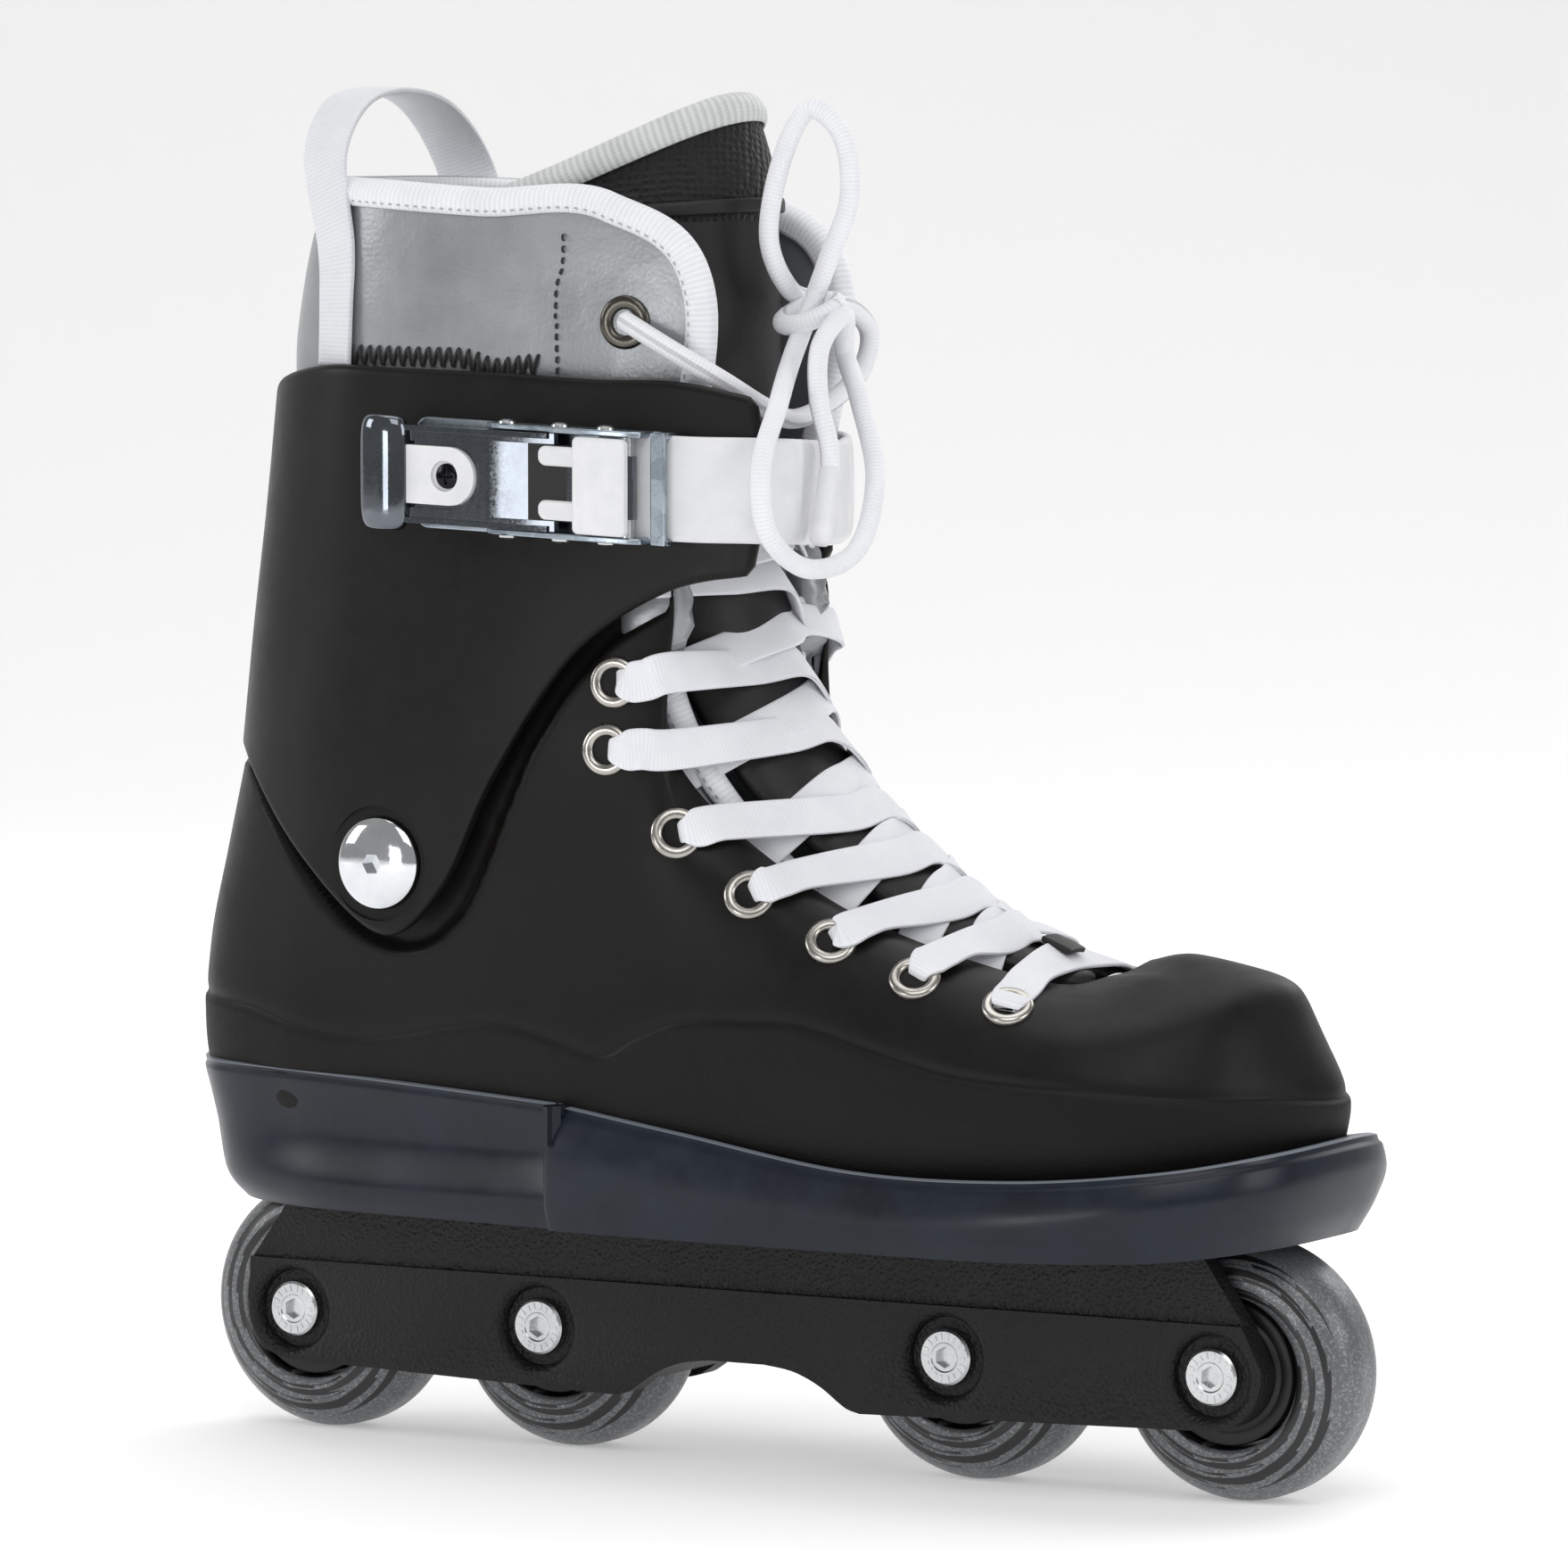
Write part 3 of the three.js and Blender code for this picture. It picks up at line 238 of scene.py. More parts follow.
def turned(name, profile, around=64, centre=(0, 0, 0), side=1):
    # A [radius, y] profile carried round the Y axis; a profile that isn't on the axis closes on itself.
    profile = np.asarray(profile, float)
    onAxis = profile[0, 0] == 0 and profile[-1, 0] == 0
    angle = np.arange(around) * 2 * pi / around
    r, y = profile[:, 0][:, None], profile[:, 1][:, None] * side
    ring = np.stack([r * np.cos(angle), y + 0 * angle, r * np.sin(angle)], -1) + np.array(centre)
    obj = makeMesh(name, ring, [quads(len(profile), around, True, not onAxis)])
    return cleaned(obj)


def cleaned(obj, merge=True):
    # Every face turned outwards, after doubles are merged.
    work = bmesh.new()
    work.from_mesh(obj.data)
    if merge:
        bmesh.ops.remove_doubles(work, verts=work.verts, dist=mergeDistance)
        bmesh.ops.dissolve_degenerate(work, edges=work.edges, dist=mergeDistance)
    bmesh.ops.recalc_face_normals(work, faces=work.faces)
    work.to_mesh(obj.data)
    work.free()
    return obj


def frames(path, lead, closed=False):
    # Along a path: its run, the lead direction squared to the run, and the third direction.
    if closed:
        run = unit(np.roll(path, -1, 0) - np.roll(path, 1, 0))
    else:
        run = unit(np.gradient(path, axis=0))
    lead = np.broadcast_to(np.asarray(lead, float), path.shape)
    side = unit(lead - run * np.sum(lead * run, -1, keepdims=True))
    return run, side, np.cross(run, side)


def oval(width, height, count=16, square=2.0):
    # A closed oval; square above 2 makes it boxier.
    angle = np.arange(count) * 2 * pi / count
    c, s = np.cos(angle), np.sin(angle)
    power = 2 / square
    x = np.sign(c) * np.abs(c) ** power * width / 2
    return np.stack([x, np.sign(s) * np.abs(s) ** power * height / 2], -1)


def joined(name, objects):
    # Several objects' meshes in one, in the first one's materials.
    work = bmesh.new()
    for obj in objects:
        work.from_mesh(obj.data)
    mesh = bpy.data.meshes.new(name)
    work.to_mesh(mesh)
    work.free()
    for obj in objects:
        bpy.data.objects.remove(obj)
    made = bpy.data.objects.new(name, mesh)
    scene.collection.objects.link(made)
    return made


def carved(obj, cutters):
    # The cutters' solids taken away from the object's, one after another.
    for cutter in cutters:
        mod = obj.modifiers.new("cut", "BOOLEAN")
        mod.operation, mod.object, mod.solver = "DIFFERENCE", cutter, "MANIFOLD"
    graph = bpy.context.evaluated_depsgraph_get()
    mesh = bpy.data.meshes.new_from_object(obj.evaluated_get(graph))
    obj.modifiers.clear()
    obj.data = mesh
    for cutter in cutters:
        bpy.data.objects.remove(cutter)
    return obj


def block(name, x0, x1, y0, y1, z0, z1):
    corners = np.array([[x, y, z] for z in (z0, z1) for y in (y0, y1) for x in (x0, x1)], float)
    faces = [(0, 2, 3, 1), (4, 5, 7, 6), (0, 1, 5, 4), (2, 6, 7, 3), (0, 4, 6, 2), (1, 3, 7, 5)]
    return makeMesh(name, corners, [faces])


def plate(name, outline, low, high, axis="y"):
    # A flat outline given thickness along Y (outline in x and z) or Z (outline in x and y).
    outline = np.asarray(outline, float)
    n = len(outline)
    a, b = outline.T
    level = [np.full(n, v) for v in (low, high)]
    order = (lambda v: (a, v, b)) if axis == "y" else (lambda v: (a, b, v))
    points = np.concatenate([np.stack(order(v), -1) for v in level])
    faces = [[np.arange(n)[::-1], np.arange(n) + n], quads(2, n, True)]
    return cleaned(makeMesh(name, points, faces))


def rod(name, radius, low, high, centre, axis="y", around=48):
    profile = [(0, low), (radius, low), (radius, high), (0, high)]
    obj = turned(name, profile, around, (0, 0, 0))
    if axis == "z":
        co = pointsOf(obj)
        co = np.stack([co[:, 0], co[:, 2], co[:, 1]], -1)
        setPoints(obj, co + np.array(centre))
        return cleaned(obj)
    setPoints(obj, pointsOf(obj) + np.array(centre))
    return obj


def pointsOf(obj):
    # The mesh's points back in mm of the layout.
    co = np.zeros(len(obj.data.vertices) * 3)
    obj.data.vertices.foreach_get("co", co)
    return (co.reshape(-1, 3) - shift) / mm


def setPoints(obj, points):
    obj.data.vertices.foreach_set("co", toRow(points).ravel())
    obj.data.update()


# ---- the shape of the boot, in mm of the layout
def offsetNet(net, depth):
    # Each point of a closed net moved along the cross product of its ways across and up.
    net = np.asarray(net, float)
    up = np.concatenate([net[:, 1:], net[:, -1:]], 1) - np.concatenate([net[:, :1], net[:, :-1]], 1)
    along = np.roll(net, -1, 0) - np.roll(net, 1, 0)
    return net + unit(np.cross(along, up)) * depth[..., None]


shellSet = {
    "bottom": 70, "wall": 3.5, "ankleWall": 7, "pocket": 4.5, "innerShare": 0.95, "ledge": 0.9,
    "rows": 150, "columns": 400}
shellHalf = [
    [(-144, 0, 70), (-149, 0, 82), (-151, 0, 98), (-150.5, 0, 118), (-146, 0, 140), (-141, 0, 160),
     (-134, 0, 187)],
    [(-132, -23, 70), (-137, -27, 82), (-138.5, -28, 98), (-137.5, -28.5, 118), (-132, -29, 141),
     (-127, -29.5, 162), (-121, -29, 190)],
    [(-111, -33, 70), (-113, -37.5, 82), (-113.5, -39, 98), (-112, -40, 119), (-108, -42, 142),
     (-104, -42.5, 166), (-100, -41.5, 194)],
    [(-80, -35, 70), (-80, -39.5, 82), (-80, -42, 98), (-80, -44, 119), (-79, -47, 142), (-76, -47, 168),
     (-72, -45, 198)],
    [(-44, -38, 70), (-44, -43, 82), (-44, -44.5, 98), (-43, -45.5, 120), (-41, -47, 146), (-38, -47, 174),
     (-35, -44, 202)],
    [(-10, -42, 70), (-10, -46.5, 82), (-10, -47, 98), (-10, -46.5, 120), (-11, -46, 147),
     (-12, -42.5, 176),
     (-8, -38, 205)],
    [(22, -44.5, 70), (22, -48.5, 82), (21, -48.5, 98), (17, -46, 118), (9, -43, 137), (0, -40, 152),
     (-6.5, -37, 166)],
    [(60, -45, 70), (60, -48.5, 82), (59, -47.5, 96), (55, -44, 110), (47, -39, 121), (38, -33.5, 129),
     (28.6, -28, 134.5)],
    [(103, -39, 70), (103, -42.5, 82), (102, -41.5, 94), (98, -37.5, 104), (92, -31, 111), (84, -24.5, 115),
     (76, -18, 117.5)],
    [(128, -22, 70), (130, -25, 82), (129.5, -24.5, 93), (124, -22, 106), (116, -17.5, 115),
     (106, -13, 119),
     (92, -9, 118.5)],
    [(137, 4, 70), (140.5, 4, 82), (141.5, 4, 93), (134, 3, 107), (124, 2, 117.5), (108, 0, 123),
     (97, 0, 121.5)]]
collarHalf = [
    [(-126.5, 0, 250), (-117, 0, 297)], [(-115, -25, 251), (-108, -24.5, 297)], [(-93, -36.5, 252),
                                                                                 (-88, -36, 296)],
    [(-60, -39, 252), (-57, -38, 294)], [(-26, -38.5, 254), (-24, -37.5, 293)], [(-20, -37, 238),
                                                                                 (0, -35.5, 270)],
    [(-12, -32, 172), (-11, -31.5, 186)], [(24, -21.5, 133), (22, -19, 135)],
    [(72, -12, 112.5), (70.5, -9.5, 113.5)], [(87, -6, 113.5), (84.5, -4.5, 114)], [(90, 0, 116),
                                                                                    (86.5, 0, 116.2)]]
cuffNet = [
    [(15.4, -43.5, 210), (17.5, -43, 222), (18, -42.5, 236), (15.5, -42, 247.5)],
    [(-4, -46.5, 206), (-3, -46.5, 221), (-2, -46, 236), (-2, -44.5, 250.7)],
    [(-27, -48.5, 191.5), (-26, -48.5, 211), (-25, -47.5, 231), (-24, -45.5, 251)],
    [(-47.5, -50.3, 163), (-46, -50, 193), (-44, -48.5, 223), (-43, -46, 252)],
    [(-62, -50.5, 136), (-60, -50.6, 175), (-58, -49, 214), (-57, -46, 252.5)],
    [(-79, -49.8, 125), (-78, -50.2, 168), (-77, -48.5, 211), (-76, -45.5, 253)],
    [(-104, -45.5, 143), (-102, -45.3, 180), (-100, -44, 217), (-98, -42, 253.5)],
    [(-127.5, -30, 163.7), (-124.5, -30, 193), (-121.5, -29, 222), (-119, -28, 250)],
    [(-142, 0, 164), (-138.5, 0, 191), (-135, 0, 218), (-132.5, 0, 244)],
    [(-127.5, 28.5, 163.7), (-124.5, 28.5, 193), (-121.5, 28, 222), (-119, 27, 250)],
    [(-104, 43.2, 143), (-102, 43, 180), (-100, 42, 217), (-98, 40, 253.5)],
    [(-79, 47.4, 125), (-78, 47.7, 168), (-77, 46.2, 211), (-76, 43.2, 253)],
    [(-64, 48, 136), (-64, 48, 175), (-63, 46.5, 214), (-62, 43.7, 252.5)],
    [(-51, 47.6, 163), (-51, 47.4, 193), (-51, 46, 223), (-51, 43.5, 252)],
    [(-36, 46, 189.4), (-37, 46, 210), (-38, 45, 231), (-38, 42.7, 251)],
    [(-22, 43.8, 204.8), (-23, 43.8, 220), (-24, 43, 236), (-24, 41.5, 250.7)],
    [(-9, 41, 210), (-9, 41, 222), (-9.5, 40.5, 236), (-11, 39.5, 247.5)]]
# side views: where the cuff is let into the shell, and the crease above the textured lower band
pocketLine = np.array([
    (-175, 161.4), (-125.3, 161.4), (-117, 153), (-103, 137), (-92, 126), (-79.6, 120.6), (-69, 121.8),
    (-59.5, 129), (-53.5, 139), (-47.5, 152), (-40.5, 167), (-30.5, 182), (-20, 193.5), (-6, 202), (14,
                                                                                                    207)])
creaseLine = np.array([
    (-160, 106), (-122, 103.2), (-104, 98.9), (-88.7, 97.6), (-74.9, 99.6), (-60.2, 102.3), (-48.2, 102.9),
    (-34.2, 99.9), (-20.9, 97.1), (-10.9, 102), (0.8, 106.1), (17.8, 106.9), (30.6, 106.6), (49, 102),
    (67.2, 97.5), (84.7, 95.7), (98.6, 94.9), (117.8, 93.3), (135, 92.7), (148, 90.1)])
toeRidge = np.array([(94, 40, 109.4), (108, 36, 112.5), (120.4, 30, 115.6), (128, 17, 116.4),
                     (131, 0, 116.6)])
shellNet = bothSides(shellHalf, shellSet["innerShare"])


def above(line, points):
    # How far points stand above a line in side view, squared to its slope.
    x = np.linspace(line[0, 0], line[-1, 0], 400)
    span = np.interp(x, line[:, 0], np.arange(len(line)))
    z = spline(line, span)[:, 1]
    slope = np.gradient(z, x)
    here = np.interp(points[..., 0], x, z)
    return (points[..., 2] - here) / np.sqrt(1 + np.interp(points[..., 0], x, slope) ** 2)


def wallAt(p):
    thick = smooth(100, 124, p[..., 2]) * (1 - smooth(-34, -12, p[..., 0]))
    return shellSet["wall"] + (shellSet["ankleWall"] - shellSet["wall"]) * thick


def onFace(grid, x, z, side):
    # The nearest point of a closed grid to a place in side view, on one side, and the way its face looks.
    far = np.hypot(grid[..., 0] - x, grid[..., 2] - z) + 1e6 * (grid[..., 1] * side < 3)
    i, j = np.unravel_index(np.argmin(far), far.shape)
    up = grid[min(i + 1, len(grid) - 1), j] - grid[max(i - 1, 0), j]
    along = grid[i, (j + 1) % grid.shape[1]] - grid[i, j - 1]
    return grid[i, j], unit(np.cross(along, up))


def turnedTo(obj, at, normal, lead=(0, 0, 1)):
    # A piece made round the Y axis stood at a point with its +Y along a direction.
    p = pointsOf(obj)
    normal = unit(np.asarray(normal, float))
    third = unit(np.asarray(lead, float) - normal * np.dot(lead, normal))
    side = np.cross(normal, third)
    setPoints(obj, np.asarray(at) + p[:, :1] * side + p[:, 1:2] * normal + p[:, 2:] * third)
    return obj


def pointValues(obj, name, values, kind="FLOAT"):
    layer = obj.data.attributes.new(name, kind, "POINT")
    layer.data.foreach_set("vector" if kind == "FLOAT_VECTOR" else "value",
                           np.asarray(values, np.float32).ravel())


faceGrid = surface(shellNet, 97, 400, True)


def makeShell():
    s = shellSet
    grid = surface(shellNet, s["rows"], s["columns"], True)
    out = normalsOf(grid, True)
    wall = wallAt(grid)
    over = above(pocketLine, grid)
    let = smooth(-1.7, 0.7, over) * (1 - smooth(-9, -7, grid[..., 0]))
    below = -above(creaseLine, grid)
    ledge = smooth(-0.6, 1.2, below) * (1 - smooth(8, 26, below)) * s["ledge"]
    ledge += 0.5 * np.exp(-(np.minimum(below + 3, 0) / 5) ** 2) * (1 - smooth(-3, 0, below)) * 0.6
    # a ridge round the toe cap, raised by a cusp that falls off away from its line
    ridge = np.concatenate([toeRidge * np.array([1, -1, 1]), toeRidge[::-1][1:]])
    ridge = spline(ridge, 90)
    near = np.min(np.linalg.norm(grid[:, :, None, :] - ridge, axis=-1), axis=-1)
    front = smooth(88, 126, grid[..., 0])
    cap = np.exp(-near / 8) * (1.0 + 4.4 * front)
    face = grid + out * (ledge - s["pocket"] * let + cap * smooth(84, 100, grid[..., 0]))[..., None]
    back = grid - out * wall[..., None]
    whole = lipped(face, back)
    whole[-1, :, 2] = s["bottom"] + s["wall"]
    whole = floored(whole)
    obj = makeMesh("boot_shell_moulding", whole, capped(*whole.shape[:2]))
    band = np.zeros(whole.shape[:2])
    band[3:3 + s["rows"]] = smooth(-0.5, 0.8, below)
    pointValues(obj, "textured", band)
    return obj


def edged(outer, inner, lipRows=5):
    # A sheet with thickness: its two faces joined by round lips on all four sides.
    turn = np.linspace(0, pi, lipRows + 2)[1:-1]
    grids = []
    for share in turn:
        middle, half = (outer + inner) / 2, (outer - inner) / 2
        grids.append((middle + half * np.cos(share), np.sin(share)))
    edge = np.linalg.norm(outer - inner, axis=-1).mean() / 2
    across = unit(np.gradient(outer, axis=1))
    up = unit(np.gradient(outer, axis=0))
    loops = []
    for grid, reach in [(outer, 0), *grids, (inner, 0)]:
        loop = np.concatenate([
            grid[0] - up[0] * edge * reach, (grid[:, -1] + across[:, -1] * edge * reach)[1:-1],
            (grid[-1] + up[-1] * edge * reach)[::-1], (grid[:, 0] - across[:, 0] * edge
                                                       * reach)[::-1][1:-1]])
        loops.append(loop)
    return np.array(loops)


def sheetPiece(name, outer, inner, lipRows=5):
    # Outer and inner faces as grids, with a round rim between them; doubles are merged afterwards.
    rows, columns = outer.shape[:2]
    rim = edged(outer, inner, lipRows)
    points = np.concatenate([outer.reshape(-1, 3), inner.reshape(-1, 3), rim.reshape(-1, 3)])
    n = rows * columns
    faces = [quads(rows, columns), quads(rows, columns, start=n)[:, ::-1],
             quads(len(rim), rim.shape[1], True, start=2 * n)]
    return cleaned(makeMesh(name, points, faces))


# ---- the cuff, round from its inner front edge to its outer one
cuffSet = {
    "wall": 3.4, "rows": 66, "columns": 190, "pivotFace": {"outer": 50, "inner": 47.5}, "dish": (13.4, 1.4),
    "barrel": 7.6}
pivotSides = {"outer": -1, "inner": 1}


def makeCuff():
    s = cuffSet
    face = surface(np.array(cuffNet, float)[::-1], s["rows"], s["columns"])
    out = normalsOf(face)
    back = face - out * s["wall"]
    obj = sheetPiece("cuff_moulding", face, back, 7)
    cutters = []
    for name, side in pivotSides.items():
        at = s["pivotFace"][name]
        radius, depth = s["dish"]
        for reach, low in ((radius, at - depth), (s["barrel"], at - 12)):
            place = (pivotPlace[0], 0, pivotPlace[1])
            cutters.append(turned("bore", [(0, low), (reach, low), (reach, at + 8), (0, at + 8)], 96,
                                  place, side))
    return carved(obj, cutters)


# ---- the soul plate
soleSet = {"rows": 46, "columns": 360, "innerShare": 0.98, "rim": 3.6, "rimDepth": 9, "slotHalf": 19.55,
           "slotTop": 65.35,
    "drawnIn": (0.05, 0.35, 0.65, 0.95)}
soleHalf = [
    [(-143, 0, 57), (-147, 0, 63), (-149.5, 0, 76), (-152.5, 0, 89.7)],
    [(-131, -24, 57), (-134, -27.5, 63), (-135.5, -29, 76), (-138, -31.5, 90)],
    [(-109, -36.5, 57), (-110, -39, 63.5), (-110.5, -37, 76), (-112, -40.5, 89.7)],
    [(-80, -41, 57), (-80, -43.5, 63.5), (-80, -40.5, 75), (-80, -44, 88.5)],
    [(-37, -45.5, 57), (-36, -47.8, 64), (-36, -45, 75), (-36, -48, 86.2)],
    [(-31.5, -49, 57), (-31.5, -51.5, 64), (-31.5, -51.8, 76), (-31, -48.8, 85.7)],
    [(2, -51, 57), (2, -53.3, 64), (1, -53.6, 72), (2, -51, 81.2)],
    [(45, -51.5, 57), (46, -54, 62), (46, -54.6, 66.5), (46, -52.6, 75.2)],
    [(85, -50.5, 57), (86, -53.3, 62), (86, -54, 67), (86, -51.8, 75)],
    [(118, -43, 58), (120, -45.8, 65), (121, -47, 71), (120, -45, 78)],
    [(137, -25, 60), (140, -27.5, 67), (142, -29, 74), (141, -27.5, 81.5)],
    [(141, 5, 60.5), (145.5, 5, 67), (148, 5, 76), (146.5, 5, 83)]]


def makeSole():
    s = soleSet
    face = surface(bothSides(soleHalf, s["innerShare"]), s["rows"], s["columns"], True)
    out = unit(normalsOf(face, True) * np.array([1, 1, 0]))
    # the face is let in a little all the way up to a thin bead at the rim
    fromTop = lengths(face, 0)
    fromTop = fromTop[-1:] - fromTop
    face = face - out * (0.7 * smooth(2.2, 1.2, fromTop))[..., None]
    top = face[-1]
    inward = top - out[-1] * s["rim"]
    ring = np.linspace(0, 1, 4)[1:, None, None]
    lip = top + (inward - top) * ring + np.array([0, 0, 0.35]) * np.sin(ring * pi)
    wall = inward - np.array([0, 0, s["rimDepth"]]) * np.array([0.5, 1])[:, None, None]
    whole = floored(np.concatenate([face, lip, wall]), s["drawnIn"])
    obj = makeMesh("soul_plate_moulding", whole, capped(*whole.shape[:2]))
    # painted highlight: the rows at the rim's edge are marked to be coloured light grey, standing in for the
    # light the edge catches
    paintedRimHighlight = np.zeros(whole.shape[:2])
    rimRow = len(s["drawnIn"]) + len(face)
    paintedRimHighlight[rimRow - 1:rimRow + 1] = 1
    pointValues(obj, "paintedRimHighlight", paintedRimHighlight)
    slot = block("slot", -137, 137, -s["slotHalf"], s["slotHalf"], 40, s["slotTop"])
    return carved(obj, [slot])


# ---- the frame
frameSet = {
    "half": 20.5, "well": 13.5, "inset": 1.3, "line": 42, "top": 65, "pocket": (9.6, 3.2), "wheel": 30,
    "clear": 1.2, "axles": (-121.5, -54, 54, 121.5), "groove": (24, 25.5), "edge": 0.9}


def arc(cx, cz, radius, start, end, count):
    a = np.radians(np.linspace(start, end, count))
    return np.stack([cx + radius * np.cos(a), cz + radius * np.sin(a)], -1)


def makeFrame():
    s = frameSet
    reach, top = s["groove"]
    rise = np.array([(1.35, 15.6), (1.22, 16.4), (1.12, 17.8), (0.9, 21.4), (0.62, 24.2), (0.3, top - 0.2)])
    rise = spline(rise, 22) * np.array([reach, 1])
    groove = np.concatenate([rise, rise[::-1] * np.array([-1, 1])]) * np.array([-1, 1])
    outline = np.concatenate([
        arc(s["axles"][0], 30, 12, 180, 270, 24), groove, arc(s["axles"][3], 31, 13.1, 275, 365, 24),
        [(129.7, s["line"]), (119.6, 56.8), (117, s["top"]), (-119, s["top"]), (-122, 57.5), (-125, 53),
         (-133, s["line"])]])
    half, well = s["half"], s["well"]
    obj = plate("frame_moulding", outline, -half, half)
    cutters = []
    radius = s["wheel"] + s["clear"]
    for x in s["axles"]:
        cutters.append(rod("well", radius, -well, well, (x, 0, 30), around=96))
        if abs(x) > 100:
            ends = sorted([x / abs(x) * 54, x / abs(x) * 150])
            cutters.append(block("bay", *ends, -well, well, 0, 30 + radius))
    for side in (-1, 1):
        low, high = sorted([side * (half - s["inset"]), side * (half + 1)])
        cutters.append(block("step", -150, 150, low, high, s["line"], s["top"] + 1))
    obj = carved(obj, cutters)
    cutters = []
    pocketRadius, depth = s["pocket"]
    for x in s["axles"]:
        for side in (-1, 1):
            mouth = [(0, half - depth), (pocketRadius - 0.5, half - depth), (pocketRadius, half - 1.3),
                     (pocketRadius + 0.8, half - 0.5),
                     (pocketRadius + 2.4, half + 0.3), (pocketRadius + 2.4, half + 1), (0, half + 1)]
            cutters.append(turned("pocket", mouth, 96, (x, 0, 30), side))
        cutters.append(rod("bore", 4.3, -half - 2, half + 2, (x, 0, 30), around=40))
    return carved(obj, cutters)


# ---- wheels, bearings and axles
wheelSet = {
    "radius": 30, "width": 24, "tread": 10, "core": 17, "head": 6.75, "headThick": 2.4,
    "headFace": 17.4, "hex": 4.4}


def tyreProfile(s):
    half, bore = s["width"] / 2, s["core"] + 0.3
    turn = np.linspace(0, pi / 2, 18)
    side = np.stack([
        s["radius"] - s["tread"] + s["tread"] * np.sin(turn),
        half - s["tread"] + s["tread"] * np.cos(turn)], -1)
    crown = np.stack([np.full(5, s["radius"]), np.linspace(1.6, -1.6, 5)], -1)
    inner = np.array([(bore, half - 1.4), (bore + 0.3, half - 0.5), (bore + 1.2, half - 0.05)])
    outer = np.concatenate([inner, side, crown])
    return np.concatenate([outer, (side * np.array([1, -1]))[::-1], (inner * np.array([1, -1]))[::-1]])


def makeTyre(name, x):
    s = wheelSet
    obj = turned(name, tyreProfile(s), 128, (x, 0, s["radius"]))
    place = (pointsOf(obj) - np.array([x, 0, s["radius"]])) * mm
    pointValues(obj, "hub", place, "FLOAT_VECTOR")
    return obj


def makeCore(name, x):
    half = wheelSet["width"] / 2
    core = wheelSet["core"]
    rim = [(core - 0.4, half - 1.6), (core - 0.7, half - 0.9), (core - 1.3, half - 0.6),
           (13.6, half - 0.9), (13.0, half - 0.2),
           (12.2, half), (11.3, half - 0.2), (11.15, half - 0.6), (11.12, 4.9), (9.3, 4.9)]
    profile = np.array(rim)
    return turned(name, np.concatenate([profile, (profile * np.array([1, -1]))[::-1]]), 96, (x, 0, 30))


def makeBearing(name, x, side):
    # Outer ring, shield with its two steps and inner ring face, as one turned profile.
    low, high = 5, 12
    profile = [(5.8, low), (11, low), (11, high - 0.25), (10.75, high), (9.6, high), (9.4, high - 0.45),
               (9.0, high - 0.3),
               (7.2, high - 0.3), (6.9, high - 0.5), (6.1, high - 0.5), (5.8, high - 0.6)]
    return turned(name, profile, 72, (x, 0, 30), side)


def makeBearingInner(name, x, side):
    profile = [(4.2, 5), (5.6, 5), (5.6, 11.8), (5.4, 12), (4.5, 12), (4.2, 11.8)]
    return turned(name, profile, 56, (x, 0, 30), side)


def makeAxleHead(name, x, side):
    # A low domed head with a turned rim, a hexagonal socket, and a ring of raised dots for its marks.
    s = wheelSet
    face, head, thick = s["headFace"], s["head"], s["headThick"]
    profile = [(0, face), (head, face), (head, face + thick * 0.55), (head - 0.25, face + thick * 0.82),
               (head - 0.8, face + thick),
               (3.5, face + thick), (3.2, face + thick - 0.25), (0, face + thick - 0.25)]
    obj = turned(name, profile, 72, (x, 0, 30), side)
    angle = np.arange(6) * pi / 3 + pi / 6
    flat = s["hex"] / sqrt(3)
    hexagon = np.stack([x + flat * np.cos(angle), 30 + flat * np.sin(angle)], -1)
    low, high = sorted([side * (face + 0.3), side * (face + thick + 2)])
    obj = carved(obj, [plate("socket", hexagon, low, high)])
    marks = []
    for k in range(18):
        a = k * pi / 9
        reach = np.array([4.15, 5.75 if k % 3 else 5.3])
        along, wide = np.array([cos(a), sin(a)]), np.array([-sin(a), cos(a)]) * (0.28 if k % 2 else 0.42)
        corners = [along * reach[0] - wide, along * reach[1] - wide, along * reach[1] + wide,
                   along * reach[0] + wide]
        low, high = sorted([side * (face + thick - 0.2), side * (face + thick + 0.16)])
        marks.append(plate(name + "_mark", np.array(corners) + np.array([x, 30]), low, high))
    return joined(name, [obj, *marks])


def makeAxle(name, x):
    return rod(name, 4, -17.3, 17.3, (x, 0, 30), around=40)


# ---- materials
def hexColour(text):
    # sRGB to linear: a straight line near black, a 2.4 power above it.
    c = np.array([int(text[i:i + 2], 16) for i in (1, 3, 5)]) / 255
    line = np.where(c <= 0.04045, c / 12.92, ((c + 0.055) / 1.055) ** 2.4)
    return (*line.tolist(), 1.0)


def addNode(tree, kind, settings, output=None):
    # A socket given as a value is linked, a "#" text is a colour and None is passed over. Keys are inputs by
    # name or number where the node has one, and its own fields otherwise.
    node = tree.nodes.new("ShaderNode" + kind)
    for key, value in settings.items():
        if isinstance(value, bpy.types.NodeSocket):
            tree.links.new(value, node.inputs[key])
        elif value is not None and (isinstance(key, int) or key in node.inputs):
            isHex = isinstance(value, str) and value.startswith("#")
            node.inputs[key].default_value = hexColour(value) if isHex else value
        elif value is not None:
            setattr(node, key, value)
    return node if output is None else node.outputs[output]


